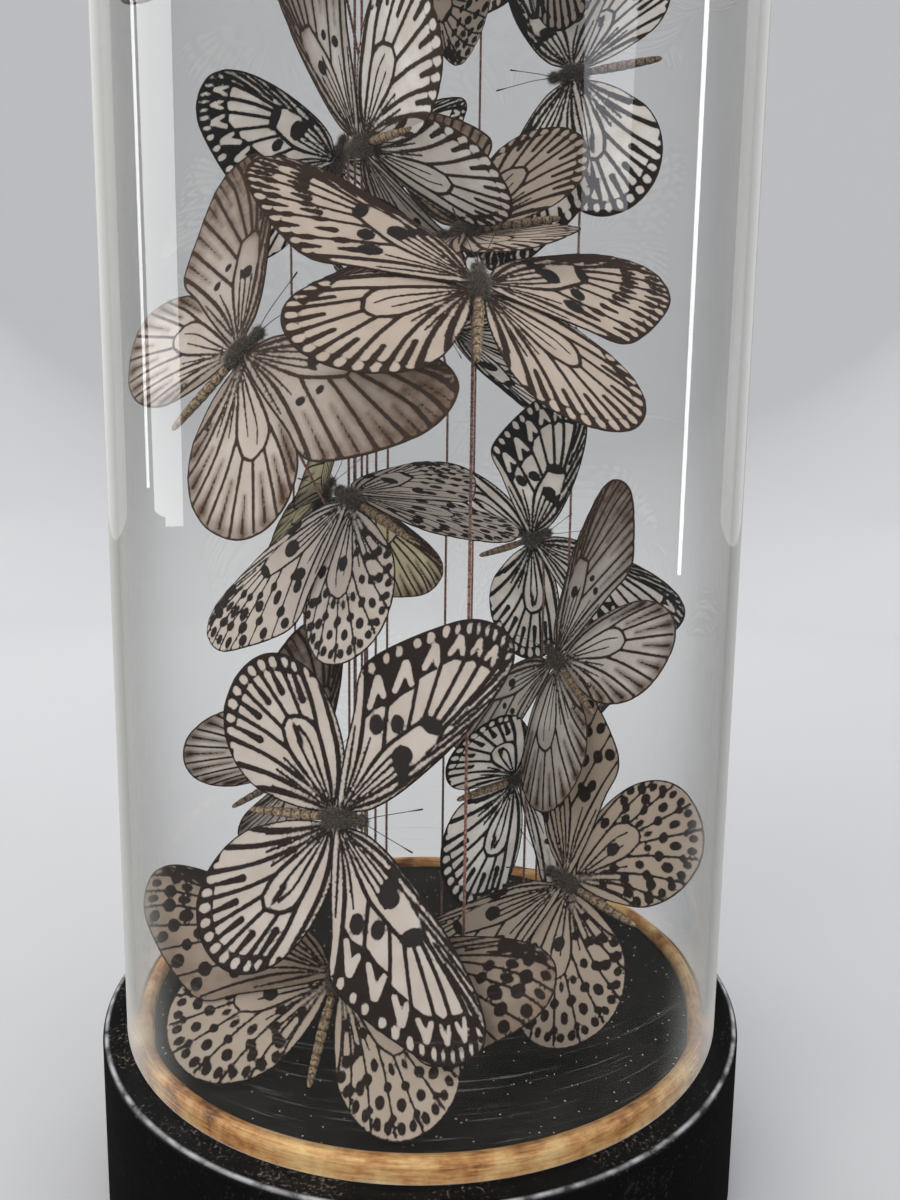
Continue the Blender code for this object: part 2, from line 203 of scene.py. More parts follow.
# ---------------------------------------------------------------- wing shapes
# All in shares of the wing's own length: root at (0, 0), tip along +X, front edge at +Y.
FORE_OUTLINE = ((0.0, 0.005), (0.06, 0.05), (0.13, 0.088), (0.28, 0.118), (0.54, 0.128), (0.76, 0.11),
                (0.90, 0.075), (0.97, 0.03), (1.0, -0.03), (0.98, -0.12), (0.91, -0.20),
                (0.77, -0.275), (0.62, -0.335), (0.50, -0.365), (0.42, -0.345), (0.33, -0.27),
                (0.19, -0.175), (0.07, -0.085), (0.0, -0.02))
HIND_OUTLINE = ((0.0, 0.02), (0.05, 0.12), (0.14, 0.205), (0.27, 0.285), (0.44, 0.345), (0.62, 0.37),
                (0.76, 0.35), (0.88, 0.29), (0.96, 0.20), (0.995, 0.09), (0.99, -0.02),
                (0.95, -0.12), (0.885, -0.21), (0.79, -0.28), (0.69, -0.322), (0.56, -0.34),
                (0.42, -0.32), (0.28, -0.25), (0.16, -0.17), (0.06, -0.075))

# Ribs run from where they branch off to the margin, front to rear.
FORE_RIBS = (((0.02, 0.01), (0.2, 0.085), (0.42, 0.112), (0.60, 0.126)),
             ((0.38, 0.078), (0.55, 0.100), (0.71, 0.114)),
             ((0.48, 0.072), (0.64, 0.088), (0.81, 0.10)),
             ((0.60, 0.068), (0.75, 0.078), (0.90, 0.073)),
             ((0.70, 0.055), (0.84, 0.052), (0.965, 0.035)),
             ((0.55, 0.050), (0.75, 0.040), (0.90, 0.015), (1.0, -0.03)),
             ((0.545, 0.030), (0.72, 0.0), (0.88, -0.05), (0.985, -0.105)),
             ((0.535, 0.0), (0.70, -0.050), (0.84, -0.10), (0.945, -0.165)),
             ((0.52, -0.030), (0.65, -0.100), (0.77, -0.165), (0.875, -0.22)),
             ((0.44, -0.044), (0.53, -0.105), (0.65, -0.195), (0.76, -0.28)),
             ((0.31, -0.057), (0.42, -0.155), (0.52, -0.245), (0.62, -0.335)),
             ((0.02, -0.01), (0.2, -0.105), (0.36, -0.235), (0.49, -0.366)))
FORE_CELL = (((0.02, 0.005), (0.2, 0.050), (0.38, 0.077), (0.50, 0.071), (0.555, 0.052)),
             ((0.02, 0.0), (0.15, -0.030), (0.31, -0.057), (0.44, -0.044), (0.52, -0.030)),
             ((0.555, 0.052), (0.545, 0.030), (0.535, 0.0), (0.52, -0.030)))
FORE_FOLDS = (((0.05, 0.008), (0.18, 0.028), (0.33, 0.042)),
              ((0.05, 0.003), (0.2, 0.006), (0.36, 0.010)),
              ((0.06, -0.004), (0.2, -0.016), (0.38, -0.022)),
              ((0.06, -0.022), (0.18, -0.068), (0.30, -0.13)),
              ((0.05, -0.030), (0.16, -0.115), (0.28, -0.21)))

HIND_RIBS = (((0.02, 0.01), (0.10, 0.12), (0.25, 0.230), (0.45, 0.315), (0.62, 0.37)),
             ((0.39, 0.190), (0.56, 0.265), (0.80, 0.335)),
             ((0.53, 0.165), (0.70, 0.205), (0.925, 0.255)),
             ((0.58, 0.095), (0.75, 0.100), (0.985, 0.105)),
             ((0.555, 0.030), (0.73, -0.005), (0.985, -0.055)),
             ((0.43, -0.010), (0.62, -0.075), (0.90, -0.205)),
             ((0.02, 0.0), (0.25, -0.050), (0.50, -0.145), (0.76, -0.295)),
             ((0.02, -0.005), (0.22, -0.090), (0.42, -0.205), (0.59, -0.337)),
             ((0.02, -0.01), (0.17, -0.110), (0.30, -0.210), (0.40, -0.312)))
HIND_CELL = (((0.02, 0.01), (0.18, 0.100), (0.39, 0.190), (0.48, 0.188), (0.53, 0.165)),
             ((0.02, 0.0), (0.22, -0.008), (0.43, -0.010), (0.555, 0.030)),
             ((0.53, 0.165), (0.58, 0.095), (0.555, 0.030)))
HIND_FOLDS = (((0.05, 0.015), (0.2, 0.060), (0.38, 0.115), (0.50, 0.120)),
              ((0.05, 0.006), (0.22, 0.030), (0.44, 0.060)),
              ((0.06, -0.010), (0.22, -0.030), (0.42, -0.065)),
              ((0.06, -0.018), (0.2, -0.068), (0.40, -0.145)),
              ((0.05, -0.022), (0.18, -0.105), (0.34, -0.22)))

FIRST_BROAD_GAP = 5                 # forewing gaps ahead of this one are narrow slits
FAN_SHARE = 0.25                    # dark share of a stripe, on each side, where lines crowd
FAN_END = (0.24, 0.42)              # shares of the length between which the fan of lines opens
OPEN_ROOM = 3.0                     # mm, half-width that is allowed beyond the fan
NO_MARK = 9.0                       # mm, distance to the nearest mark on a blank wing

# How deep the dark outer zone of a bold forewing reaches in from the margin, mm, by gap.
BOLD_DEPTH = {2: 5.0, 3: 6.0, 4: 8.5, 5: 12.5, 6: 12.5, 7: 12.5, 8: 14.5, 9: 17.0, 10: 16.5}
# Black blots in and below a forewing's cell: place in shares of the wing's length, heading,
# half-length and half-width in mm.
CELL_BLOTS = ((0.355, 0.014, 0.5, 3.4, 3.0), (0.320, 0.050, 1.2, 2.4, 1.8),
              (0.296, 0.090, 0.2, 2.0, 1.5), (0.530, 0.008, 1.25, 3.8, 2.4),
              (0.355, -0.152, -0.75, 3.2, 2.3), (0.424, -0.092, -0.9, 2.6, 2.3))
PER_MM = 1000.0                     # noise scale, in Object coordinates, of a 1 mm pattern


# ---------------------------------------------------------------- lines in the plane, in mm
def run_along(line):
    """How far along a line each of its points is."""
    return np.concatenate([[0.0], np.cumsum(np.linalg.norm(np.diff(line, axis=0), axis=1))])


def rejoined(loop):
    """The loop with its first point once more at its end."""
    return np.vstack([loop, loop[:1]])


def smooth_line(points, spacing, closed=False):
    """A Catmull-Rom curve through the points, as points about one spacing apart."""
    knots = [np.array(p, float) for p in points]
    if closed:
        knots = [knots[-1]] + knots + knots[:2]
    else:
        knots = [2 * knots[0] - knots[1]] + knots + [2 * knots[-1] - knots[-2]]
    shares = np.linspace(0.0, 1.0, 16, endpoint=False)[:, None]
    fine = []
    for a, b, c, d in zip(knots, knots[1:], knots[2:], knots[3:]):
        fine.append(0.5 * (2 * b + (c - a) * shares + (2 * a - 5 * b + 4 * c - d) * shares ** 2
                           + (3 * b - a - 3 * c + d) * shares ** 3))
    fine.append(knots[-2][None])
    fine = np.concatenate(fine)
    run = run_along(fine)
    count = max(3, int(round(run[-1] / spacing)) + 1)
    wanted = np.linspace(0.0, run[-1], count)
    if closed:
        wanted = wanted[:-1]
    return np.stack([np.interp(wanted, run, fine[:, k]) for k in range(fine.shape[1])], axis=1)


def to_line(points, line):
    """Distance from each point to a line, and how far along it the nearest place is."""
    start, step = line[:-1], np.diff(line, axis=0)
    square = (step ** 2).sum(1)
    away = points[:, None, :] - start[None]
    share = np.clip((away * step).sum(2) / square, 0.0, 1.0)
    distance = np.linalg.norm(away - share[..., None] * step, axis=2)
    nearest = distance.argmin(1)
    rows = np.arange(len(points))
    run = np.concatenate([[0.0], np.cumsum(np.sqrt(square))])
    return distance[rows, nearest], run[nearest] + share[rows, nearest] * np.sqrt(square[nearest])


def inside(points, loop):
    """Whether each point lies inside a closed loop."""
    x, y = points[:, 0, None], points[:, 1, None]
    ax, ay = loop[:, 0], loop[:, 1]
    bx, by = np.roll(ax, -1), np.roll(ay, -1)
    spans = (ay > y) != (by > y)
    rise = np.where(by == ay, 1.0, by - ay)
    return (spans & (x < (bx - ax) * (y - ay) / rise + ax)).sum(1) % 2 == 1


def ramp(value, low, high):
    """0 below low, 1 above high, smooth between; high may be the lower of the two."""
    share = np.clip((value - low) / (high - low), 0.0, 1.0)
    return share * share * (3 - 2 * share)


# ---------------------------------------------------------------- one wing's flat sheet
class Wing:
    """The flat sheet of one wing in mm, and the distance fields of what is drawn on it.

    dark is the distance to the brown marks and black to the blackest ones, both negative
    inside. smoke runs from 0 on the clear ground to 1 where it is brown all over.
    """

    def __init__(self, outline, ribs, cell, folds, length, hind):
        self.hind = hind
        self.length = length
        self.loop = smooth_line(np.array(outline) * length, SHEET_SPACING, closed=True)
        self.ribs = [self.to_margin(smooth_line(np.array(r) * length, SHEET_SPACING)) for r in ribs]
        self.cell = [smooth_line(np.array(c) * length, SHEET_SPACING) for c in cell]
        self.folds = [smooth_line(np.array(f) * length, SHEET_SPACING) for f in folds]
        self.triangulate()
        self.inset, self.margin_run = to_line(self.points, rejoined(self.loop))
        self.rib_distance = np.min([to_line(self.points, line)[0] for line in self.ribs + self.cell],
                                   axis=0)
        self.room = self.crowding()

    def blank(self, seed):
        """The same sheet with nothing drawn on it yet."""
        wing = copy.copy(self)
        wing.random = np.random.default_rng(seed)
        wing.dark = np.full(len(self.points), NO_MARK)
        wing.black = np.full(len(self.points), NO_MARK)
        wing.smoke = np.zeros(len(self.points))
        return wing

    def to_margin(self, line):
        """The line with its end put on the nearest point of the margin."""
        end = self.loop[np.linalg.norm(self.loop - line[-1], axis=1).argmin()]
        clear = np.linalg.norm(line - end, axis=1) > 0.7 * SHEET_SPACING
        return np.vstack([line[:-1][clear[:-1]], end])

    def triangulate(self):
        """A triangle sheet with edges along the margin, the ribs, the cell and the folds."""
        corners = [Vector(p) for p in self.loop]
        edges = []
        margin = rejoined(self.loop)
        for line in self.ribs + self.cell + self.folds:
            keep = inside(line, self.loop) & (to_line(line, margin)[0] > 0.45 * SHEET_SPACING)
            kept = [p for p, good in zip(line, keep) if good]
            first = len(corners)
            corners += [Vector(p) for p in kept]
            edges += [(i, i + 1) for i in range(first, len(corners) - 1)]
        lines = self.ribs + self.cell + self.folds + [margin]
        for spacing, crowded in ((SHEET_SPACING, False), (CROWDED_SPACING, True)):
            lattice = self.lattice(spacing)
            near = np.sort(np.stack([to_line(lattice, line)[0] for line in lines]), axis=0)
            keep = (near[0] > 0.5 * spacing) & ((near[0] + near[1] < CROWDED_GAP) == crowded)
            corners += [Vector(p) for p in lattice[keep]]
        made = delaunay_2d_cdt(corners, edges, [list(range(len(self.loop)))], 1, 1e-4)
        self.points = np.array([tuple(v) for v in made[0]])
        self.triangles = np.array([f for f in made[2] if len(f) == 3], int)

    def lattice(self, spacing):
        """Evenly spread points inside the margin."""
        low, high = self.loop.min(0), self.loop.max(0)
        rows = np.arange(low[1], high[1], spacing * 0.866)
        spots = np.array([(x + (k % 2) * spacing / 2, y) for k, y in enumerate(rows)
                          for x in np.arange(low[0], high[0], spacing)])
        return spots[inside(spots, self.loop)]

    # ---- places
    def on_rib(self, number, inset):
        """The point on a rib that is inset mm along it from the margin."""
        back = self.ribs[number][::-1]
        run = run_along(back)
        return np.array([np.interp(inset, run, back[:, k]) for k in (0, 1)])

    def in_gap(self, number, inset, aside=0.0):
        """A place between two ribs: aside runs from -1 on the rear rib to 1 on the front one.

        Gives the place, the heading towards the margin and half the gap's width there.
        """
        front, rear = self.on_rib(number, inset), self.on_rib(number + 1, inset)
        outer = (self.on_rib(number, inset - 1.0) + self.on_rib(number + 1, inset - 1.0)) / 2
        middle = (front + rear) / 2
        out = outer - middle
        return middle + aside * (front - rear) / 2, math.atan2(out[1], out[0]), \
            np.linalg.norm(front - rear) / 2

    def vary(self, amount=0.14):
        """A factor near 1, for marks that are never twice the same."""
        return 1.0 + self.random.uniform(-amount, amount)

    # ---- marks
    def oval(self, place, heading, half_long, half_wide):
        """Distance to an oval of about that size, negative inside."""
        half_long, half_wide = half_long * self.vary(), half_wide * self.vary()
        x, y = (self.points - place).T
        along = x * math.cos(heading) + y * math.sin(heading)
        across = y * math.cos(heading) - x * math.sin(heading)
        reach = np.sqrt((along / half_long) ** 2 + (across / half_wide) ** 2)
        return (reach - 1.0) * min(half_long, half_wide)

    def spot(self, place, heading, half_long, half_wide, black=False):
        """A dark oval, or one of the blackest."""
        shape = self.oval(place, heading, half_long, half_wide)
        self.dark = np.minimum(self.dark, shape)
        if black:
            self.black = np.minimum(self.black, shape)

    def clear(self, place, heading, half_long, half_wide):
        """A pale oval left free of the dark marks drawn before it."""
        self.dark = np.maximum(self.dark, -self.oval(place, heading, half_long, half_wide))

    def band(self, line, half_start, half_end):
        """Distance to a line whose half-width changes evenly along it, negative on it."""
        line = np.array(line)
        distance, run = to_line(self.points, line)
        length = np.linalg.norm(np.diff(line, axis=0), axis=1).sum()
        return distance - (half_start + (half_end - half_start) * run / length)

    def stroke(self, line, half_start, half_end):
        """A dark line."""
        self.dark = np.minimum(self.dark, self.band(line, half_start, half_end))

    def clear_stroke(self, line, half_start, half_end):
        """A pale line left free of the dark marks drawn before it."""
        self.dark = np.maximum(self.dark, -self.band(line, half_start, half_end))

    def streak(self, line, half_start, half_end, depth):
        """A soft brown streak in the cast of the wing."""
        soft = ramp(self.band(line, half_start, half_end), 0.9, -0.5)
        self.smoke = np.clip(self.smoke + depth * soft, 0.0, 1.0)

    def veins(self, half_root, half_tip, flare=0.0, flare_run=10.0):
        """All ribs and the cell, flared near the margin and slim where they crowd at the root."""
        share = np.linalg.norm(self.points, axis=1) / self.length
        half = half_root + (half_tip - half_root) * np.clip(share * 1.6, 0.0, 1.0)
        half = np.minimum(half, self.room) + flare * ramp(self.inset, flare_run, 1.0)
        self.dark = np.minimum(self.dark, self.rib_distance - half)

    def crowding(self):
        """The most half-width that leaves pale stripes where lines run close together."""
        share = np.linalg.norm(self.points, axis=1) / self.length
        lines = self.folds + self.cell[:2] + [self.ribs[0], self.ribs[-1]]
        front = self.ribs[:1] + self.cell[:1] + [rejoined(self.loop)]
        if self.hind:
            lines += self.ribs[-3:-1]
        else:
            front += self.ribs[1:FIRST_BROAD_GAP]
        room = []
        for group in (lines, front):
            near = np.sort(np.stack([to_line(self.points, line)[0] for line in group]), axis=0)
            room.append(FAN_SHARE * (near[0] + near[1]))
        return np.minimum(room[0] + OPEN_ROOM * ramp(share, *FAN_END), room[1])

    def fold_lines(self, half):
        """The folds, each half as wide at its end as at its start."""
        for line in self.folds:
            distance, run = to_line(self.points, line)
            taper = 1.0 - 0.5 * run / np.linalg.norm(np.diff(line, axis=0), axis=1).sum()
            self.dark = np.minimum(self.dark, distance - np.minimum(half * taper, self.room))

    def region(self, corners):
        """Distance to a closed shape, negative inside."""
        loop = np.array(corners)
        distance = to_line(self.points, rejoined(loop))[0]
        return np.where(inside(self.points, loop), -distance, distance)

    def edge(self, width):
        """A dark rim all round the margin."""
        self.dark = np.minimum(self.dark, self.inset - width)

    def outer_edge(self, width, from_share):
        """A dark band along the outer part of the margin."""
        fade = ramp(self.points[:, 0] / self.length, from_share - 0.12, from_share + 0.12)
        self.dark = np.minimum(self.dark, self.inset - width * fade)

    def at(self, x, y):
        """A place given in shares of the wing's length."""
        return np.array((x, y)) * self.length


# ---------------------------------------------------------------- markings
def cell_blots(wing, size=1.0):
    """The black blots in and below a forewing's cell."""
    for x, y, heading, half_long, half_wide in CELL_BLOTS:
        wing.spot(wing.at(x, y), heading, half_long * size, half_wide * size, black=True)


def bold_fore(wing):
    """Dark outer zone with pale windows at the margin and pale chevrons inside them."""
    for gap, depth in BOLD_DEPTH.items():
        front, rear = depth * wing.vary(0.08) - 1.2, depth * wing.vary(0.08)
        wing.dark = np.minimum(wing.dark, wing.region(
            [wing.on_rib(gap, 0.0), wing.on_rib(gap, front), wing.in_gap(gap, depth - 1.2)[0],
             wing.on_rib(gap + 1, rear), wing.on_rib(gap + 1, 0.0)]))
        width = 2.0 * wing.in_gap(gap, 0.6 * depth)[2]
        apex, reach = wing.in_gap(gap, 0.42 * depth)[0], 0.78 * depth
        leg = min(0.15 * width, 1.25)
        for aside in (-0.56, 0.56):
            end = wing.in_gap(gap, reach * wing.vary(0.05), aside)[0]
            if gap >= FIRST_BROAD_GAP:
                wing.clear_stroke([apex, end], leg, 0.7 * leg)
            place, heading, half = wing.in_gap(gap, 2.5, aside)
            wing.clear(place, heading, 1.6 * min(1.0, half / 2.2), min(0.27 * half, 1.1))
    wing.edge(0.55)
    wing.veins(0.70, 0.56, flare=0.15, flare_run=12.0)
    wing.fold_lines(0.58)
    cell_blots(wing)


def bold_hind(wing):
    """Dark margin with a row of pale ovals, and dark drops hanging in from it."""
    wing.outer_edge(5.4, 0.70)
    last = len(wing.ribs) - 3
    for gap in range(last + 1):
        for aside in (-0.5, 0.5):
            place, heading, half = wing.in_gap(gap, 2.6, aside)
            wing.clear(place, heading, 1.8, min(0.31 * half, 1.3))
        width = wing.in_gap(gap, 11.0)[2]
        if 0 < gap < last and width > 1.9:
            end = wing.in_gap(gap, 13.0 * wing.vary(0.08))[0]
            middle = wing.in_gap(gap, 9.0)[0]
            wing.stroke(smooth_line([wing.in_gap(gap, 4.5)[0], middle, end], 0.7), 0.55,
                        min(0.36 * width, 1.15))
    wing.edge(0.45)
    wing.veins(0.74, 0.62, flare=0.25, flare_run=10.0)
    wing.fold_lines(0.66)
    wing.spot(wing.at(0.47, 0.085), 0.2, 3.4, 0.9)


def blotched_fore(wing):
    """Pale wing with dark wedges, drops and blots between brown veins."""
    wing.outer_edge(3.4, 0.42)
    for gap in range(2, len(wing.ribs) - 1):
        broad = gap >= FIRST_BROAD_GAP
        for aside in (-0.5, 0.5):
            place, heading, half = wing.in_gap(gap, 2.2, aside)
            wing.clear(place, heading, 1.45 * min(1.0, half / 2.0), min(0.30 * half, 1.15))
        if broad:
            wing.stroke([wing.in_gap(gap, 3.0)[0], wing.in_gap(gap, 7.5 * wing.vary())[0]], 1.3, 0.5)
            wing.spot(wing.on_rib(gap, 6.5), wing.in_gap(gap, 6.5)[1], 2.2, 1.25)
            inner = 11.0 * wing.vary(0.1)
            wing.stroke([wing.in_gap(gap, inner)[0], wing.in_gap(gap, inner + 4.5)[0]], 0.6, 1.25)
            wing.spot(wing.on_rib(gap, inner + 3.5), wing.in_gap(gap, 14.0)[1], 2.6, 1.2)
        else:
            wing.spot(wing.on_rib(gap, 6.0), wing.in_gap(gap, 6.0)[1], 2.0, 1.0)
    wing.edge(0.5)
    wing.veins(0.72, 0.56, flare=0.2, flare_run=9.0)
    wing.fold_lines(0.56)
    cell_blots(wing, 0.92)


def forked_hind(wing):
    """Brown veins that fork at the margin, with slim drops between them."""
    wing.outer_edge(4.2, 0.58)
    last = len(wing.ribs) - 2
    for gap in range(last):
        for aside in (-0.5, 0.5):
            place, heading, half = wing.in_gap(gap, 2.1, aside)
            wing.clear(place, heading, 1.7, min(0.34 * half, 1.4))
        if gap:
            reach = 10.5 * wing.vary(0.2)
            wing.stroke([wing.in_gap(gap, 3.0)[0], wing.in_gap(gap, reach)[0]], 0.95, 0.7)
    wing.edge(0.4)
    wing.veins(0.68, 0.60, flare=0.35, flare_run=8.0)
    wing.fold_lines(0.54)


def spotted_fore(wing):
    """Thin veins, rows of round spots and a chequered margin."""
    wing.veins(0.60, 0.34)
    wing.fold_lines(0.50)
    wing.edge(0.42)
    for gap in range(2, len(wing.ribs) - 1):
        broad = gap >= FIRST_BROAD_GAP
        place, heading, half = wing.in_gap(gap, 3.2)
        wing.spot(place, heading, 1.9, min(max(0.55 * half, 0.7), 2.0))
        if broad:
            place, heading, half = wing.in_gap(gap, 14.0 if gap < 8 else 15.5)
            wing.spot(place, heading, 2.3, min(0.60 * half, 1.9))
    for rib in range(3, len(wing.ribs) - 1):
        wing.spot(wing.on_rib(rib, 9.0), 0.5, 2.1, 1.9)
        if rib > FIRST_BROAD_GAP:
            wing.spot(wing.on_rib(rib, 21.0), 0.5, 1.7, 1.5)
    wing.spot(wing.at(0.36, 0.012), 0.3, 2.9, 2.7, black=True)
    wing.spot(wing.at(0.545, 0.015), 1.3, 3.2, 1.5)
    wing.spot(wing.at(0.36, -0.15), 0.6, 2.6, 2.3)
    wing.stroke([wing.at(0.28, 0.10), wing.at(0.335, 0.105)], 1.5, 1.5)


def spotted_hind(wing):
    """Thin veins, rows of round spots and an arched margin."""
    wing.veins(0.50, 0.34)
    wing.fold_lines(0.44)
    wing.edge(0.40)
    last = len(wing.ribs) - 1
    for gap in range(last):
        for aside in (-0.45, 0.45):
            place, heading, half = wing.in_gap(gap, 2.9, aside)
            wing.spot(place, heading, 1.6, min(0.30 * half, 1.5))
        place, heading, half = wing.in_gap(gap, 8.6)
        wing.spot(place, heading, 1.9, min(0.42 * half, 1.55))
        place, heading, half = wing.in_gap(gap, 18.5)
        if half > 2.0:
            wing.spot(place, heading, 1.7, min(0.42 * half, 1.4))
    for rib in range(1, last):
        wing.spot(wing.on_rib(rib, 13.6), 0.6, 1.6, 1.4)
        wing.spot(wing.on_rib(rib, 5.4), 0.6, 1.25, 1.1)
    wing.spot(wing.at(0.36, 0.065), 0.2, 2.3, 2.0, black=True)
    wing.spot(wing.at(0.32, -0.045), 0.2, 1.7, 1.4)
    wing.spot(wing.at(0.36, 0.235), 0.5, 1.9, 1.6)


def smoky_fore(wing):
    """Brown cast that deepens to the tip, dark veins and a soft streak in each gap."""
    wing.veins(0.60, 0.54, flare=0.15)
    wing.fold_lines(0.48)
    wing.edge(0.7)
    far = ramp(wing.points[:, 0] / wing.length, 0.30, 0.85)
    front = ramp(wing.points[:, 1] / wing.length, -0.20, 0.12)
    rim = ramp(wing.inset, 10.0, 0.5)
    beside_rib = ramp(wing.rib_distance, 2.4, 0.4) * ramp(wing.points[:, 0] / wing.length, 0.2, 0.6)
    wing.smoke = 0.12 + 0.42 * far + 0.15 * front + 0.20 * rim + 0.35 * beside_rib
    for gap in range(2, len(wing.ribs) - 1):
        half = wing.in_gap(gap, 6.0)[2]
        reach = (15.0 if gap >= FIRST_BROAD_GAP else 9.0) * wing.vary(0.2)
        line = [wing.in_gap(gap, 1.0)[0], wing.in_gap(gap, reach)[0]]
        wing.streak(line, min(0.40 * half, 1.5), 0.6, 0.40)
        wing.stroke(line, min(0.14 * half, 0.5), 0.08)
    wing.spot(wing.at(0.352, 0.015), 0.4, 2.3, 2.0, black=True)
    wing.spot(wing.at(0.352, -0.150), 0.6, 1.7, 1.4, black=True)
    wing.spot(wing.at(0.424, -0.095), 0.8, 1.6, 1.3, black=True)


def faint_hind(wing):
    """Fine brown veins and streaks on a clear ground with a soft smoky margin."""
    wing.veins(0.54, 0.48)
    wing.fold_lines(0.42)
    wing.edge(0.5)
    wing.smoke = 0.05 + 0.55 * ramp(wing.inset, 7.0, 0.5)
    for gap in range(len(wing.ribs) - 1):
        half = wing.in_gap(gap, 7.0)[2]
        line = [wing.in_gap(gap, 1.5)[0], wing.in_gap(gap, 14.0 * wing.vary(0.2))[0]]
        wing.streak(line, min(0.40 * half, 1.5), 0.6, 0.55)
        wing.stroke(line, 0.58, 0.18)


def dusky_fore(wing):
    """The spotted wing under a brown cast."""
    spotted_fore(wing)
    wing.smoke = 0.30 + 0.35 * ramp(wing.inset, 12.0, 1.0)


MARKINGS = {
    ("fore", "bold"): bold_fore, ("hind", "bold"): bold_hind,
    ("fore", "blotched"): blotched_fore, ("hind", "forked"): forked_hind,
    ("fore", "spotted"): spotted_fore, ("hind", "spotted"): spotted_hind,
    ("fore", "smoky"): smoky_fore, ("hind", "faint"): faint_hind,
    ("fore", "dusky"): dusky_fore, ("hind", "dusky"): spotted_hind,
    ("fore", "faint"): faint_hind,
}


# ---------------------------------------------------------------- meshes from arrays
Shell = namedtuple("Shell", "points faces fields material")


def tube(path, radii, sides, material, fields=None):
    """A tube along a path, with a radius at each point, closed by a fan at each end."""
    path = np.array(path, float)
    forward = np.gradient(path, axis=0)
    forward /= np.linalg.norm(forward, axis=1)[:, None]
    side = np.cross(forward, (0.31, 0.2, 0.93))
    side /= np.linalg.norm(side, axis=1)[:, None]
    up = np.cross(side, forward)
    angles = np.arange(sides) * math.tau / sides
    ring = np.cos(angles)[None, :, None] * side[:, None] + np.sin(angles)[None, :, None] * up[:, None]
    points = (path[:, None] + ring * np.array(radii)[:, None, None]).reshape(-1, 3)
    rows, count = len(path), len(points)
    faces = []
    for row in range(rows - 1):
        for i in range(sides):
            a, b = row * sides + i, row * sides + (i + 1) % sides
            faces.append((a, a + sides, b))
            faces.append((b, a + sides, b + sides))
    points = np.vstack([points, path[:1], path[-1:]])
    for i in range(sides):
        after = (i + 1) % sides
        faces.append((count, i, after))
        faces.append((count + 1, (rows - 1) * sides + after, (rows - 1) * sides + i))
    return Shell(points, np.array(faces), fields or {}, material)


def joined_mesh(name, shells, materials):
    """One mesh of several shells, with every field any of them has as an attribute."""
    mesh = bpy.data.meshes.new(name)
    offsets = np.cumsum([0] + [len(s.points) for s in shells])
    points = np.vstack([s.points for s in shells])
    faces = np.vstack([s.faces + offset for s, offset in zip(shells, offsets)])
    mesh.vertices.add(len(points))
    mesh.vertices.foreach_set("co", points.astype(np.float32).ravel())
    mesh.loops.add(faces.size)
    mesh.loops.foreach_set("vertex_index", faces.astype(np.int32).ravel())
    mesh.polygons.add(len(faces))
    mesh.polygons.foreach_set("loop_start", np.arange(0, faces.size, 3, dtype=np.int32))
    mesh.polygons.foreach_set("material_index", np.concatenate(
        [np.full(len(s.faces), s.material, np.int32) for s in shells]))
    for material in materials:
        mesh.materials.append(material)
    names = sorted({key for s in shells for key in s.fields})
    for key in names:
        width = next(np.atleast_2d(s.fields[key].T).shape[0] for s in shells if key in s.fields)
        kind, slot = {1: ("FLOAT", "value"), 3: ("FLOAT_VECTOR", "vector"),
                      4: ("FLOAT_COLOR", "color")}[width]
        values = [s.fields.get(key, np.zeros((len(s.points), width))).reshape(-1, width)
                  for s in shells]
        layer = mesh.attributes.new(key, kind, "POINT")
        layer.data.foreach_set(slot, np.vstack(values).astype(np.float32).ravel())
    mesh.update(calc_edges=True)
    mesh.validate()
    mesh.shade_smooth()
    return mesh


def moved(shell, matrix):
    """The shell with its points put through a matrix, turned right way out if that mirrors."""
    grid = np.array(matrix)
    points = shell.points @ grid[:3, :3].T + grid[:3, 3]
    mirrors = matrix.determinant() < 0
    return shell._replace(points=points, faces=shell.faces[:, ::-1] if mirrors else shell.faces)


def in_scene(name, data):
    """A new object in the scene."""
    made = bpy.data.objects.new(name, data)
    bpy.context.scene.collection.objects.link(made)
    return made


def show(name, mesh, node):
    """Put a finished mesh in the scene in place of its plain solid."""
    piece = in_scene(name, mesh)
    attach(piece, BODY)
    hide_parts(node)


# ---------------------------------------------------------------- nodes and colours
def linear(colour):
    """An sRGB hex colour as linear RGBA."""
    parts = [int(colour[i:i + 2], 16) / 255 for i in (1, 3, 5)]
    return tuple(c / 12.92 if c <= 0.04045 else ((c + 0.055) / 1.055) ** 2.4 for c in parts) + (1.0,)


def add(tree, kind, settings=None, links=None):
    """Add a node, set its properties and sockets, and link its inputs."""
    made = tree.nodes.new(kind)
    for name, value in (settings or {}).items():
        if isinstance(name, str) and hasattr(made, name):
            setattr(made, name, value)
        else:
            made.inputs[name].default_value = value
    for name, source in (links or {}).items():
        tree.links.new(source, made.inputs[name])
    return made


def start_material(name):
    """A new material with an empty tree and its output node."""
    material = bpy.data.materials.new(name)
    material.use_nodes = True
    material.node_tree.nodes.clear()
    return material, material.node_tree, add(material.node_tree, "ShaderNodeOutputMaterial")


def start_nodes(name, inputs):
    """A new Geometry Nodes tree, its input node and the identifiers of its named inputs."""
    tree = bpy.data.node_groups.new(name, "GeometryNodeTree")
    tree.interface.new_socket("Geometry", in_out="INPUT", socket_type="NodeSocketGeometry")
    identifiers = {}
    for socket, kind in inputs.items():
        made = tree.interface.new_socket(socket, in_out="INPUT", socket_type=kind)
        identifiers[socket] = made.identifier
    tree.interface.new_socket("Geometry", in_out="OUTPUT", socket_type="NodeSocketGeometry")
    return tree, add(tree, "NodeGroupInput"), identifiers


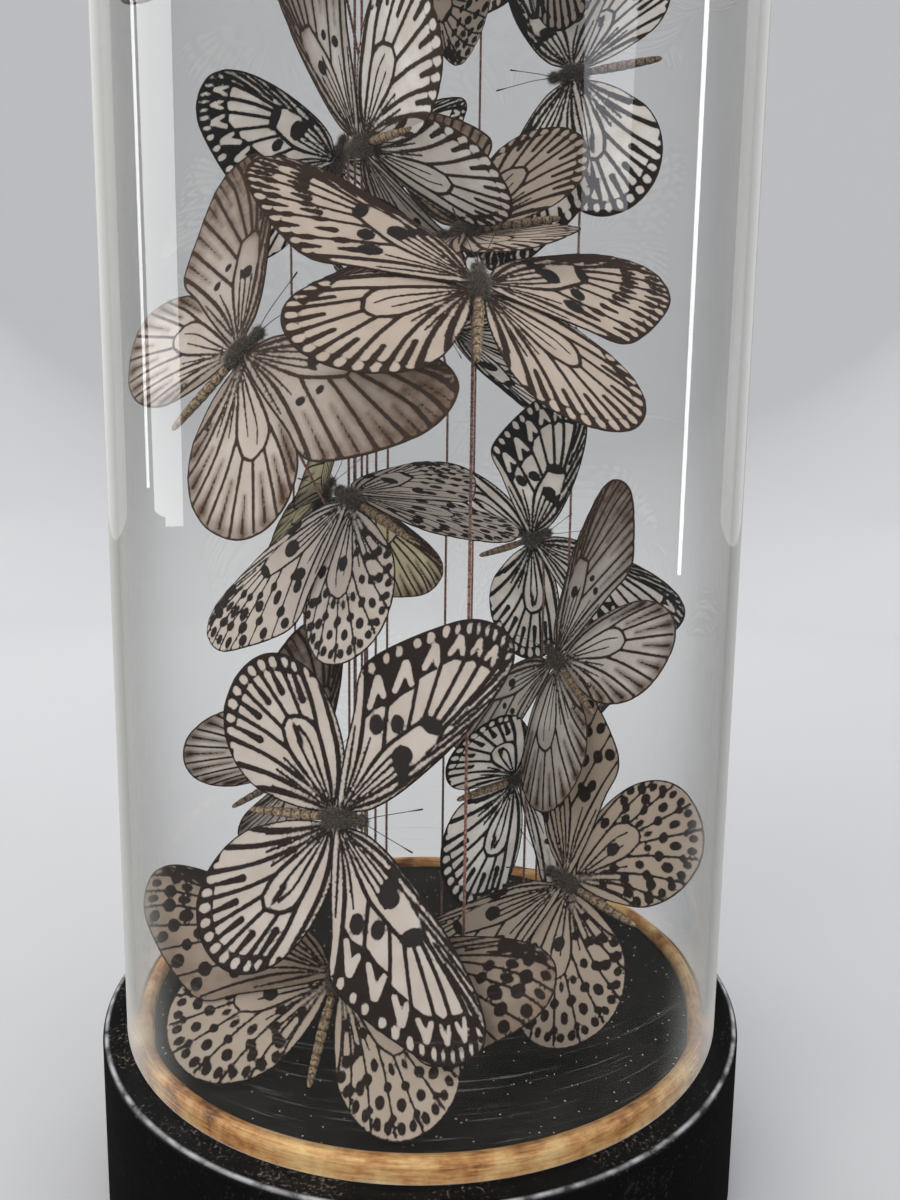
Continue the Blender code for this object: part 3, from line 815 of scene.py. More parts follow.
def baked(source, tree, identifiers, values):
    """The plain mesh that a Geometry Nodes tree makes from an object, which is then removed."""
    modifier = source.modifiers.new("grow", "NODES")
    modifier.node_group = tree
    for name, value in values.items():
        modifier[identifiers[name]] = value
    bpy.context.view_layer.update()
    evaluated = source.evaluated_get(bpy.context.evaluated_depsgraph_get())
    mesh = bpy.data.meshes.new_from_object(evaluated)
    source.modifiers.remove(modifier)
    bpy.data.objects.remove(source, do_unlink=True)
    return mesh


def wing_material():
    """Dry wing: a thin membrane under rows of scales.

    The scales make it matt and a little downy, and light passes through the membrane, so
    the back light shows in the pale ground while the dark marks stay closed.
    """
    material, tree, output = start_material("dry_wing_scales")
    drawn = {name: add(tree, "ShaderNodeAttribute", {"attribute_name": name}).outputs
             for name in ("sheet", "dark", "black", "smoke", "ground", "mark")}
    sheet = drawn["sheet"]["Vector"]
    wobble = add(tree, "ShaderNodeTexNoise", {"Scale": 0.9, "Detail": 3.0, "Roughness": 0.6},
                 {"Vector": sheet})
    shift = add(tree, "ShaderNodeMath", {"operation": "MULTIPLY_ADD", 1: 0.7, 2: -0.35},
                {0: wobble.outputs["Fac"]})
    edge = add(tree, "ShaderNodeMath", {"operation": "ADD"},
               {0: drawn["dark"]["Fac"], 1: shift.outputs[0]})
    marked = add(tree, "ShaderNodeMapRange", {"From Min": 0.16, "From Max": -0.14},
                 {"Value": edge.outputs[0]})
    black_edge = add(tree, "ShaderNodeMath", {"operation": "ADD"},
                     {0: drawn["black"]["Fac"], 1: shift.outputs[0]})
    blackened = add(tree, "ShaderNodeMapRange", {"From Min": 0.3, "From Max": -0.5},
                    {"Value": black_edge.outputs[0]})
    cloud = add(tree, "ShaderNodeTexNoise", {"Scale": 0.11, "Detail": 4.0, "Roughness": 0.6},
                {"Vector": sheet})
    worn = add(tree, "ShaderNodeMapRange", {"From Min": 0.3, "From Max": 0.7, "To Min": 0.0,
                                            "To Max": 0.45}, {"Value": cloud.outputs["Fac"]})
    ground = add(tree, "ShaderNodeMix", {"data_type": "RGBA", 7: linear("#BBA896")},
                 {0: worn.outputs[0], 6: drawn["ground"]["Color"]})
    drift = add(tree, "ShaderNodeTexNoise", {"Scale": 0.25, "Detail": 3.0}, {"Vector": sheet})
    patchy = add(tree, "ShaderNodeMapRange", {"From Min": 0.3, "From Max": 0.7, "To Min": 0.62,
                                              "To Max": 1.0}, {"Value": drift.outputs["Fac"]})
    cast = add(tree, "ShaderNodeMath", {"operation": "MULTIPLY"},
               {0: drawn["smoke"]["Fac"], 1: patchy.outputs[0]})
    smoked = add(tree, "ShaderNodeMix", {"data_type": "RGBA", 7: linear("#6B4B30")},
                 {0: cast.outputs[0], 6: ground.outputs[2]})
    brown = add(tree, "ShaderNodeMix", {"data_type": "RGBA", 7: linear("#2B2423")},
                {0: blackened.outputs[0], 6: drawn["mark"]["Color"]})
    colour = add(tree, "ShaderNodeMix", {"data_type": "RGBA"},
                 {0: marked.outputs[0], 6: smoked.outputs[2], 7: brown.outputs[2]})
    down = add(tree, "ShaderNodeTexNoise", {"Scale": 3.2, "Detail": 2.0}, {"Vector": sheet})
    bump = add(tree, "ShaderNodeBump", {"Strength": 0.25, "Distance": 0.08 * MM},
               {"Height": down.outputs["Fac"]})
    shader = add(tree, "ShaderNodeBsdfPrincipled", {"Roughness": 0.72, "Specular IOR Level": 0.3},
                 {"Base Color": colour.outputs[2], "Normal": bump.outputs[0]})
    through = add(tree, "ShaderNodeBsdfTranslucent", {}, {"Color": colour.outputs[2]})
    both = add(tree, "ShaderNodeMixShader", {0: 0.48},
               {1: shader.outputs[0], 2: through.outputs[0]})
    tree.links.new(both.outputs[0], output.inputs["Surface"])
    return material


def body_material():
    """Dried butterfly body: horny rings under dust-coloured down, matt and mottled."""
    material, tree, output = start_material("dried_body_down")
    place = add(tree, "ShaderNodeTexCoord").outputs["Object"]
    speckle = add(tree, "ShaderNodeTexNoise", {"Scale": 1.6 * PER_MM, "Detail": 3.0},
                  {"Vector": place})
    shade = add(tree, "ShaderNodeValToRGB", {}, {"Fac": speckle.outputs["Fac"]})
    for stop, (at, colour) in zip(shade.color_ramp.elements, ((0.36, "#3D3027"), (0.62, "#A18B70"))):
        stop.position = at
        stop.color = linear(colour)
    horn = add(tree, "ShaderNodeAttribute", {"attribute_name": "horn"})
    dark = add(tree, "ShaderNodeMix", {"data_type": "RGBA", 7: linear("#211A17")},
               {0: horn.outputs["Fac"], 6: shade.outputs["Color"]})
    bump = add(tree, "ShaderNodeBump", {"Strength": 0.6, "Distance": 0.2 * MM},
               {"Height": speckle.outputs["Fac"]})
    shader = add(tree, "ShaderNodeBsdfPrincipled", {"Roughness": 0.8, "Specular IOR Level": 0.25},
                 {"Base Color": dark.outputs[2], "Normal": bump.outputs[0]})
    tree.links.new(shader.outputs[0], output.inputs["Surface"])
    return material


def chitin_material():
    """Eyes, feelers and legs: bare chitin, near black with a soft gloss."""
    material, tree, output = start_material("bare_chitin")
    place = add(tree, "ShaderNodeTexCoord").outputs["Object"]
    grain = add(tree, "ShaderNodeTexNoise", {"Scale": 2.0 * PER_MM}, {"Vector": place})
    shade = add(tree, "ShaderNodeMix", {"data_type": "RGBA", 6: linear("#17120F"),
                                        7: linear("#3A2C24")}, {0: grain.outputs["Fac"]})
    shader = add(tree, "ShaderNodeBsdfPrincipled", {"Roughness": 0.35},
                 {"Base Color": shade.outputs[2]})
    tree.links.new(shader.outputs[0], output.inputs["Surface"])
    return material


def hair_material():
    """Down on the thorax: fine pale and dark hairs, dull with a silky edge."""
    material, tree, output = start_material("thorax_down")
    place = add(tree, "ShaderNodeTexCoord").outputs["Object"]
    lock = add(tree, "ShaderNodeTexNoise", {"Scale": 0.9 * PER_MM, "Detail": 1.0}, {"Vector": place})
    shade = add(tree, "ShaderNodeValToRGB", {}, {"Fac": lock.outputs["Fac"]})
    for stop, (at, colour) in zip(shade.color_ramp.elements, ((0.48, "#221912"), (0.72, "#94794F"))):
        stop.position = at
        stop.color = linear(colour)
    shader = add(tree, "ShaderNodeBsdfPrincipled", {"Roughness": 0.7, "Sheen Weight": 0.3},
                 {"Base Color": shade.outputs["Color"]})
    tree.links.new(shader.outputs[0], output.inputs["Surface"])
    return material


def wire_material():
    """Iron wire wound with red-brown cotton: matt thread with light flecks of fluff."""
    material, tree, output = start_material("cotton_covered_wire")
    place = add(tree, "ShaderNodeTexCoord").outputs["Object"]
    fleck = add(tree, "ShaderNodeTexNoise", {"Scale": 0.9 * PER_MM, "Detail": 4.0,
                                             "Roughness": 0.7}, {"Vector": place})
    shade = add(tree, "ShaderNodeValToRGB", {}, {"Fac": fleck.outputs["Fac"]})
    for stop, (at, colour) in zip(shade.color_ramp.elements, ((0.40, "#4A2820"), (0.72, "#A87868"))):
        stop.position = at
        stop.color = linear(colour)
    bump = add(tree, "ShaderNodeBump", {"Strength": 0.7, "Distance": 0.1 * MM},
               {"Height": fleck.outputs["Fac"]})
    shader = add(tree, "ShaderNodeBsdfPrincipled", {"Roughness": 0.78, "Sheen Weight": 0.2},
                 {"Base Color": shade.outputs["Color"], "Normal": bump.outputs[0]})
    tree.links.new(shader.outputs[0], output.inputs["Surface"])
    return material


def bead_material():
    """Black rubber bead, moulded: dull, with a wide soft highlight."""
    material, tree, output = start_material("black_rubber_bead")
    place = add(tree, "ShaderNodeTexCoord").outputs["Object"]
    bloom = add(tree, "ShaderNodeTexNoise", {"Scale": 0.5 * PER_MM, "Detail": 3.0}, {"Vector": place})
    shade = add(tree, "ShaderNodeMix", {"data_type": "RGBA", 6: linear("#0D0D0E"),
                                        7: linear("#26272A")}, {0: bloom.outputs["Fac"]})
    shader = add(tree, "ShaderNodeBsdfPrincipled", {"Roughness": 0.55, "IOR": 1.52},
                 {"Base Color": shade.outputs[2]})
    tree.links.new(shader.outputs[0], output.inputs["Surface"])
    return material


def plinth_material():
    """Beech turned on a lathe and painted satin black.

    The paint has a soft gloss and faint turning lines round the axis. A pale line along the top edge is a
    painted highlight, and grey-brown crumbs of dust lie on the ledge.
    """
    material, tree, output = start_material("black_painted_beech")
    place = add(tree, "ShaderNodeTexCoord").outputs["Object"]
    squeezed = add(tree, "ShaderNodeMapping", {"Scale": (0.06, 0.06, 1.0)}, {"Vector": place})
    lines = add(tree, "ShaderNodeTexNoise", {"Scale": 1.2 * PER_MM, "Detail": 3.0},
                {"Vector": squeezed.outputs[0]})
    crumbs = add(tree, "ShaderNodeTexNoise", {"Scale": 0.8 * PER_MM, "Detail": 4.0, "Roughness": 0.7},
                 {"Vector": place})
    drift = add(tree, "ShaderNodeTexNoise", {"Scale": 0.05 * PER_MM, "Detail": 2.0}, {"Vector": place})
    gathered = add(tree, "ShaderNodeMath", {"operation": "MULTIPLY_ADD", 1: 0.35},
                   {0: drift.outputs["Fac"], 2: crumbs.outputs["Fac"]})
    specks = add(tree, "ShaderNodeMapRange", {"From Min": 0.76, "From Max": 0.88, "To Max": 0.7},
                 {"Value": gathered.outputs[0]})
    up = add(tree, "ShaderNodeSeparateXYZ", {}, {0: add(tree, "ShaderNodeNewGeometry").outputs["Normal"]})
    lying = add(tree, "ShaderNodeMapRange", {"From Min": 0.2, "From Max": 0.95, "To Min": 0.1},
                {"Value": up.outputs["Z"]})
    dusty = add(tree, "ShaderNodeMath", {"operation": "MULTIPLY"},
                {0: specks.outputs[0], 1: lying.outputs[0]})
    painted = add(tree, "ShaderNodeMix", {"data_type": "RGBA", 6: linear("#0A0A0B"),
                                          7: linear("#7C7268")}, {0: dusty.outputs[0]})
    # Painted highlight: a pale grey line along the rounded top edge, broken in places by noise, stands
    # for the gloss on that edge.
    run = add(tree, "ShaderNodeSeparateXYZ", {},
              {0: add(tree, "ShaderNodeUVMap", {"uv_map": "round"}).outputs[0]})
    # The run up the profile to where the rounded edge has nearly turned into the top.
    shoulder = PLINTH_RADIUS + PLINTH_TOP + (1.25 * math.pi - 4.0) * PLINTH_EDGE
    off = add(tree, "ShaderNodeMath", {"operation": "SUBTRACT", 1: shoulder}, {0: run.outputs["Y"]})
    away = add(tree, "ShaderNodeMath", {"operation": "ABSOLUTE"}, {0: off.outputs[0]})
    rubbed = add(tree, "ShaderNodeMapRange", {"From Min": 0.9 * MM, "From Max": 0.1 * MM},
                 {"Value": away.outputs[0]})
    highlight_gap_noise = add(tree, "ShaderNodeTexNoise", {"Scale": 0.16 * PER_MM, "Detail": 5.0}, {"Vector": place})
    highlight_gaps = add(tree, "ShaderNodeMapRange", {"From Min": 0.36, "From Max": 0.62, "To Min": 0.1},
                {"Value": highlight_gap_noise.outputs["Fac"]})
    painted_edge_highlight = add(tree, "ShaderNodeMath", {"operation": "MULTIPLY"},
               {0: rubbed.outputs[0], 1: highlight_gaps.outputs[0]})
    colour = add(tree, "ShaderNodeMix", {"data_type": "RGBA", 7: linear("#A5A6A8")},
                 {0: painted_edge_highlight.outputs[0], 6: painted.outputs[2]})
    rough = add(tree, "ShaderNodeMapRange", {"To Min": 0.26, "To Max": 0.5},
                {"Value": lines.outputs["Fac"]})
    bump = add(tree, "ShaderNodeBump", {"Strength": 0.18, "Distance": 0.1 * MM},
               {"Height": lines.outputs["Fac"]})
    shader = add(tree, "ShaderNodeBsdfPrincipled", {"Specular IOR Level": 0.16},
                 {"Base Color": colour.outputs[2], "Roughness": rough.outputs[0],
                  "Normal": bump.outputs[0]})
    tree.links.new(shader.outputs[0], output.inputs["Surface"])
    return material


def floor_material():
    """Board painted flat black: chalky, with a thin grey haze of dust in clouds and wipes."""
    material, tree, output = start_material("flat_black_board")
    place = add(tree, "ShaderNodeTexCoord").outputs["Object"]
    cloud = add(tree, "ShaderNodeTexNoise", {"Scale": 0.03 * PER_MM, "Detail": 5.0,
                                             "Roughness": 0.6}, {"Vector": place})
    wiped = add(tree, "ShaderNodeMapping", {"Rotation": (0.0, 0.0, 0.35), "Scale": (0.08, 1.0, 1.0)},
                {"Vector": place})
    wipe = add(tree, "ShaderNodeTexNoise", {"Scale": 0.5 * PER_MM, "Detail": 3.0},
               {"Vector": wiped.outputs[0]})
    haze = add(tree, "ShaderNodeMath", {"operation": "MULTIPLY_ADD", 1: 0.35},
               {0: wipe.outputs["Fac"], 2: cloud.outputs["Fac"]})
    base = add(tree, "ShaderNodeValToRGB", {}, {"Fac": haze.outputs[0]})
    for stop, (at, colour) in zip(base.color_ramp.elements, ((0.50, "#0C0B0A"), (0.92, "#2A2824"))):
        stop.position = at
        stop.color = linear(colour)
    bump = add(tree, "ShaderNodeBump", {"Strength": 0.15, "Distance": 0.1 * MM},
               {"Height": wipe.outputs["Fac"]})
    shader = add(tree, "ShaderNodeBsdfPrincipled", {"Roughness": 0.8, "Specular IOR Level": 0.06},
                 {"Base Color": base.outputs["Color"], "Normal": bump.outputs[0]})
    tree.links.new(shader.outputs[0], output.inputs["Surface"])
    return material


def dust_material():
    """Dust and fallen wing scales: pale matt specks."""
    material, tree, output = start_material("dust_and_fallen_scales")
    place = add(tree, "ShaderNodeTexCoord").outputs["Object"]
    mix = add(tree, "ShaderNodeTexNoise", {"Scale": 0.05 * PER_MM}, {"Vector": place})
    shade = add(tree, "ShaderNodeMix", {"data_type": "RGBA", 6: linear("#8A837B"),
                                        7: linear("#EFE9DF")}, {0: mix.outputs["Fac"]})
    shader = add(tree, "ShaderNodeBsdfPrincipled", {"Roughness": 0.9}, {"Base Color": shade.outputs[2]})
    tree.links.new(shader.outputs[0], output.inputs["Surface"])
    return material


def gilt_material():
    """Gold leaf over red-brown bole, rubbed thin and gone dull.

    The leaf is pale gold where it is whole and lets the rust-brown bole through in patches
    a few mm long and in fine streaks that run round the ring, darkest in small pits.
    """
    material, tree, output = start_material("rubbed_gold_leaf")
    place = add(tree, "ShaderNodeTexCoord").outputs["Object"]
    patch = add(tree, "ShaderNodeTexNoise", {"Scale": 0.075 * PER_MM, "Detail": 4.0, "Roughness": 0.6},
                {"Vector": place})
    along = add(tree, "ShaderNodeUVMap", {"uv_map": "round"})
    drawn = add(tree, "ShaderNodeMapping", {"Scale": (0.10, 1.0, 1.0)}, {"Vector": along.outputs[0]})
    streak = add(tree, "ShaderNodeTexNoise", {"Scale": 1.1 * PER_MM, "Detail": 5.0,
                                              "Roughness": 0.7}, {"Vector": drawn.outputs[0]})
    worn = add(tree, "ShaderNodeMath", {"operation": "MULTIPLY_ADD", 1: 0.6},
               {0: streak.outputs["Fac"], 2: patch.outputs["Fac"]})
    shade = add(tree, "ShaderNodeValToRGB", {}, {"Fac": worn.outputs[0]})
    shade.color_ramp.elements.new(0.85)
    leaf = ((0.66, "#D8B67E"), (0.86, "#A87540"), (1.0, "#5A3418"))
    for stop, (at, colour) in zip(shade.color_ramp.elements, leaf):
        stop.position = at
        stop.color = linear(colour)
    metal = add(tree, "ShaderNodeMapRange", {"From Min": 0.6, "From Max": 0.95, "To Min": 0.45,
                                             "To Max": 0.05}, {"Value": worn.outputs[0]})
    bump = add(tree, "ShaderNodeBump", {"Strength": 0.35, "Distance": 0.15 * MM},
               {"Height": streak.outputs["Fac"]})
    shader = add(tree, "ShaderNodeBsdfPrincipled", {"Roughness": 0.58},
                 {"Base Color": shade.outputs["Color"], "Metallic": metal.outputs[0],
                  "Normal": bump.outputs[0]})
    tree.links.new(shader.outputs[0], output.inputs["Surface"])
    return material


def glass_material():
    """Mouth-blown soda-lime glass: clear, with slow waves in the wall from blowing.

    A thin film of dust shows where the wall is seen edge on, and the foot has fine
    scratches round it from lifting the dome on and off. Shadow and diffuse rays go
    straight through the wall, so that the lamps light what stands inside it.
    """
    material, tree, output = start_material("blown_soda_lime_glass")
    place = add(tree, "ShaderNodeTexCoord").outputs["Object"]
    upright = add(tree, "ShaderNodeMapping", {"Scale": (1.0, 1.0, 0.12)}, {"Vector": place})
    wave = add(tree, "ShaderNodeTexNoise", {"Scale": 0.03 * PER_MM, "Detail": 1.0},
               {"Vector": upright.outputs[0]})
    bump = add(tree, "ShaderNodeBump", {"Strength": 0.12, "Distance": 1.0 * MM},
               {"Height": wave.outputs["Fac"]})
    shader = add(tree, "ShaderNodeBsdfPrincipled",
                 {"Base Color": linear("#FDFDFC"), "Roughness": 0.0, "IOR": 1.5,
                  "Transmission Weight": 1.0}, {"Normal": bump.outputs[0]})
    slant = add(tree, "ShaderNodeLayerWeight", {"Blend": 0.5})
    film = add(tree, "ShaderNodeMapRange", {"interpolation_type": "SMOOTHSTEP", "From Min": 0.5,
                                            "From Max": 1.0, "To Min": 0.003, "To Max": 0.5},
               {"Value": slant.outputs["Facing"]})
    round_it = add(tree, "ShaderNodeUVMap", {"uv_map": "round"})
    drawn = add(tree, "ShaderNodeMapping", {"Rotation": (0.0, 0.0, 0.06), "Scale": (0.03, 1.0, 1.0)},
                {"Vector": round_it.outputs[0]})
    scratch = add(tree, "ShaderNodeTexNoise", {"Scale": 0.9 * PER_MM, "Detail": 4.0, "Roughness": 0.7},
                  {"Vector": drawn.outputs[0]})
    fine = add(tree, "ShaderNodeMapRange", {"From Min": 0.60, "From Max": 0.74, "To Max": 0.22},
               {"Value": scratch.outputs["Fac"]})
    height = add(tree, "ShaderNodeSeparateXYZ", {}, {0: place})
    foot = add(tree, "ShaderNodeMapRange", {"From Min": GLASS_FOOT + SCRATCHED, "From Max": GLASS_FOOT},
               {"Value": height.outputs["Z"]})
    scratched = add(tree, "ShaderNodeMath", {"operation": "MULTIPLY_ADD"},
                    {0: fine.outputs[0], 1: foot.outputs[0], 2: film.outputs[0]})
    dust = add(tree, "ShaderNodeBsdfDiffuse", {"Color": linear("#E6E7E2")})
    dusted = add(tree, "ShaderNodeMixShader", {},
                 {0: scratched.outputs[0], 1: shader.outputs[0], 2: dust.outputs[0]})
    clear = add(tree, "ShaderNodeBsdfTransparent", {"Color": linear("#FAFBFA")})
    ray = add(tree, "ShaderNodeLightPath")
    lit = add(tree, "ShaderNodeMath", {"operation": "MAXIMUM"},
              {0: ray.outputs["Is Shadow Ray"], 1: ray.outputs["Is Diffuse Ray"]})
    both = add(tree, "ShaderNodeMixShader", {},
               {0: lit.outputs[0], 1: dusted.outputs[0], 2: clear.outputs[0]})
    tree.links.new(both.outputs[0], output.inputs["Surface"])
    return material


# ---------------------------------------------------------------- wings
def wing_shell(wing, scale, bend, seed):
    """A thin closed shell of one wing, in mm, lightly curved the way dried wings are."""
    flat = wing.points * scale
    share = flat[:, 0] / flat[:, 0].max()
    across = flat[:, 1] / flat[:, 0].max()
    ribs = RIB_HEIGHT * np.exp(-(wing.rib_distance / RIB_WIDTH) ** 2)
    wave = RIPPLE_HEIGHT * np.sin(wing.margin_run / RIPPLE_RUN + seed)
    ripple = wave * ramp(wing.inset, RIPPLE_REACH, 0.0) * share
    height = bend * share ** 2 - CAMBER * across ** 2 * share + ribs + ripple
    count = len(flat)
    upper = np.column_stack([flat, height + MEMBRANE / 2])
    lower = np.column_stack([flat, height - MEMBRANE / 2])
    edges = np.vstack([wing.triangles[:, (0, 1)], wing.triangles[:, (1, 2)], wing.triangles[:, (2, 0)]])
    keys = edges.min(1) * count + edges.max(1)
    _, first, uses = np.unique(keys, return_index=True, return_counts=True)
    rim = edges[first[uses == 1]]
    walls = np.vstack([np.column_stack([rim[:, 1], rim[:, 0], rim[:, 0] + count]),
                       np.column_stack([rim[:, 1], rim[:, 0] + count, rim[:, 1] + count])])
    faces = np.vstack([wing.triangles, wing.triangles[:, ::-1] + count, walls])
    sheet = np.column_stack([wing.points, np.full(count, PATTERN_STEP * seed)])
    fields = {"dark": wing.dark, "black": wing.black, "smoke": wing.smoke, "sheet": sheet}
    return Shell(np.vstack([upper, lower]), faces,
                 {key: np.concatenate([value, value]) for key, value in fields.items()}, 0)


def wing_shells(number, specimen):
    """The four wings of one butterfly in its own frame, in mm."""
    shells = []
    scale = specimen.length / PATTERN_LENGTH
    dice = np.random.default_rng(WING_SEED + number)
    plans = (("fore", specimen.fore, specimen.sweep[0], FORE_ROOT),
             ("hind", specimen.hind, specimen.sweep[1], HIND_ROOT))
    for kind, style, sweep, root in plans:
        wing = BLANKS[kind].blank(2 * number + (kind == "hind"))
        MARKINGS[kind, style](wing)
        for side, lift in zip((-1.0, 1.0), specimen.lift):
            bend = dice.uniform(-0.9, 0.7)
            shell = wing_shell(wing, scale, bend, number + 0.37 * side)
            place = (Matrix.Diagonal((side, 1.0, 1.0, 1.0))
                     @ Matrix.Translation((WING_ROOT_OUT, *root))
                     @ Matrix.Rotation(math.radians(-lift), 4, 'Y')
                     @ Matrix.Rotation(math.radians(sweep), 4, 'Z'))
            shells.append(moved(shell, place))
    return shells


# ---------------------------------------------------------------- bodies
def body_shell():
    """Abdomen with its rings, thorax and head in one closed skin, in mm."""
    stations = np.linspace(BODY_LINE[0][0], BODY_LINE[-1][0], 120)
    line = smooth_line(BODY_LINE, 0.4)
    radii = np.interp(stations, line[:, 0], line[:, 1])
    tail = ramp(stations, -4.6, -6.0)
    turn = (stations + 30.0) / 25.5 * ABDOMEN_RINGS
    groove = np.abs(np.sin(math.pi * turn))
    radii = radii * (1.0 - 0.20 * tail * (1.0 - groove) ** 3)
    path = np.column_stack([np.zeros(len(stations)), stations, np.zeros(len(stations))])
    horn = 0.1 + 0.6 * tail * ramp(groove, 0.5, 0.1) + 0.8 * (1.0 - tail)
    under = 0.5 - 0.5 * np.sin(np.arange(BODY_SIDES) * math.tau / BODY_SIDES)
    horn = (horn[:, None] + 0.7 * under[None, :]).ravel()
    horn = np.concatenate([horn, horn[:1], horn[-1:]])
    return tube(path, radii, BODY_SIDES, 1, {"horn": np.clip(horn, 0.0, 1.0)})


def eye_shells():
    """Two bulging eyes."""
    aside, ahead, up = EYE_PLACE
    angles = np.linspace(0.02, math.pi - 0.02, 8)
    shells = []
    for side in (-1.0, 1.0):
        path = np.column_stack([side * aside - EYE_RADIUS * side * np.cos(angles),
                                np.full(8, ahead), np.full(8, up)])
        shells.append(tube(path, EYE_RADIUS * np.sin(angles), 12, 2))
    return shells


def leg_shells(dice):
    """Six thin legs drawn up under the thorax as they dry."""
    shells = []
    for side in (-1.0, 1.0):
        for along in (-1.5, 1.0, 3.4):
            hip = np.array((side * 1.3, along, -2.0))
            knee = hip + (side * dice.uniform(1.8, 2.8), dice.uniform(-0.8, 1.2),
                          dice.uniform(-1.8, -0.6))
            foot = knee + (side * dice.uniform(-1.6, 0.4), dice.uniform(-2.6, 2.4),
                           dice.uniform(-2.6, -1.2))
            path = smooth_line((hip, knee, foot), 0.7)
            shells.append(tube(path, np.linspace(0.20, 0.09, len(path)), THREAD_SIDES, 2))
    return shells


def feeler_paths(dice):
    """Two feelers that sweep forwards and out, each ending in a slim club."""
    paths = []
    for side in (-1.0, 1.0):
        out, lift = dice.uniform(3.5, 8.0), dice.uniform(-2.0, 4.0)
        brow = (side * 0.5, 9.3, 0.6)
        middle = (side * (0.5 + 0.35 * out), 15.0, 1.2 + 0.4 * lift)
        tip = (side * (0.5 + out), dice.uniform(23.0, 28.0), 1.0 + lift)
        paths.append(smooth_line((brow, middle, tip), 1.0))
    return paths


def furry_body():
    """The body skin with down on its thorax, grown by Geometry Nodes, as one shell set."""
    skin = body_shell()
    source = in_scene("body_skin", joined_mesh("body_skin", [skin], []))
    tree, given, sockets = start_nodes("down", dict.fromkeys(DOWN, "NodeSocketFloat"))
    place = add(tree, "GeometryNodeInputPosition")
    station = add(tree, "ShaderNodeSeparateXYZ", {}, {0: place.outputs[0]})
    chest = add(tree, "FunctionNodeCompare",
                {"data_type": "FLOAT", "operation": "GREATER_THAN", 1: WAIST},
                {0: station.outputs["Y"]})
    roots = add(tree, "GeometryNodeDistributePointsOnFaces", {"Seed": 11},
                {"Mesh": given.outputs["Geometry"], "Selection": chest.outputs[0],
                 "Density": given.outputs["Density"]})
    hair = add(tree, "GeometryNodeMeshCone", {"Vertices": 3, "Radius Top": 0.0},
               {"Radius Bottom": given.outputs["Hair radius"], "Depth": given.outputs["Hair length"]})
    tilt = add(tree, "FunctionNodeRandomValue", {"data_type": "FLOAT_VECTOR", 0: (-0.55, -0.55, -3.1),
                                                 1: (0.55, 0.55, 3.1), "Seed": 5})
    size = add(tree, "FunctionNodeRandomValue", {"data_type": "FLOAT", 2: 0.5, 3: 1.2, "Seed": 6})
    placed = add(tree, "GeometryNodeInstanceOnPoints", {},
                 {"Points": roots.outputs["Points"], "Instance": hair.outputs["Mesh"],
                  "Rotation": roots.outputs["Rotation"], "Scale": size.outputs[1]})
    leaning = add(tree, "GeometryNodeRotateInstances", {},
                  {"Instances": placed.outputs[0], "Rotation": tilt.outputs[0]})
    real = add(tree, "GeometryNodeRealizeInstances", {}, {0: leaning.outputs[0]})
    painted = add(tree, "GeometryNodeSetMaterial", {"Material": HAIR}, {"Geometry": real.outputs[0]})
    add(tree, "NodeGroupOutput", {}, {0: painted.outputs[0]})
    grown = baked(source, tree, sockets, DOWN)
    points, faces = arrays_of(grown)
    bpy.data.meshes.remove(grown)
    return [skin, Shell(points, faces, {}, 3)]


def arrays_of(mesh):
    """Points and triangles of a mesh."""
    mesh.calc_loop_triangles()
    points = np.empty(len(mesh.vertices) * 3)
    mesh.vertices.foreach_get("co", points)
    faces = np.empty(len(mesh.loop_triangles) * 3, np.int32)
    mesh.loop_triangles.foreach_get("vertices", faces)
    return points.reshape(-1, 3), faces.reshape(-1, 3)


def facing(specimen):
    """Where a butterfly stands: its own frame has the head at +Y and its back at +Z."""
    x, y, height = specimen.thorax
    heading, pitch, roll = (math.radians(a) for a in specimen.turn)
    return (Matrix.Translation((x * MM, y * MM, PLINTH_TOP + height * MM))
            @ Matrix.Rotation(heading, 4, 'Z') @ Matrix.Rotation(pitch, 4, 'X')
            @ Matrix.Rotation(roll, 4, 'Y'))


def drooped(shell, sag, lean):
    """The body with its abdomen sunk and turned aside a little, as it dried."""
    points = shell.points.copy()
    back = np.clip(-4.0 - points[:, 1], 0.0, None) / 26.0
    points[:, 2] -= sag * back ** 1.6
    points[:, 0] += lean * back ** 1.5
    return shell._replace(points=points)


def inside_glass(points):
    """Points in metres kept clear of the glass wall and crown."""
    crown = GLASS_TOP - GLASS_RADIUS
    middle = np.column_stack([np.zeros(len(points)), np.zeros(len(points)),
                              np.minimum(points[:, 2], crown)])
    away = points - middle
    reach = np.linalg.norm(away, axis=1)
    return middle + away * np.minimum(1.0, GLASS_ROOM * MM / np.maximum(reach, 1e-6))[:, None]


def make_butterfly(number, specimen, body):
    """One whole butterfly in place of its plain solid."""
    dice = np.random.default_rng(BODY_SEED + number)
    wings = wing_shells(number, specimen)
    sag, lean = dice.uniform(-0.5, 1.6), dice.uniform(-1.0, 1.0)
    rest = [drooped(s, sag, lean) for s in body] + eye_shells() + leg_shells(dice)
    to_world = facing(specimen) @ Matrix.Scale(MM, 4)
    shells = [moved(s, to_world) for s in wings + rest]
    grid = np.array(to_world)
    for path in feeler_paths(dice):
        path = inside_glass(path @ grid[:3, :3].T + grid[:3, 3])
        club = np.interp(np.arange(len(path)), (0, len(path) - 5, len(path) - 2), (0.13, 0.11, 0.26))
        shells.append(tube(path, club * MM, THREAD_SIDES, 2))
    tints = {"ground": linear(specimen.ground), "mark": linear(specimen.mark)}
    for i in range(len(wings)):
        fields = dict(shells[i].fields)
        for key, colour in tints.items():
            fields[key] = np.tile(colour, (len(shells[i].points), 1))
        shells[i] = shells[i]._replace(fields=fields)
    name = f"butterfly_{number:02d}"
    mesh = joined_mesh(name + "_visual", shells, [WING, DOWN_BODY, CHITIN, HAIR])
    show(name + "_dried", mesh, name)


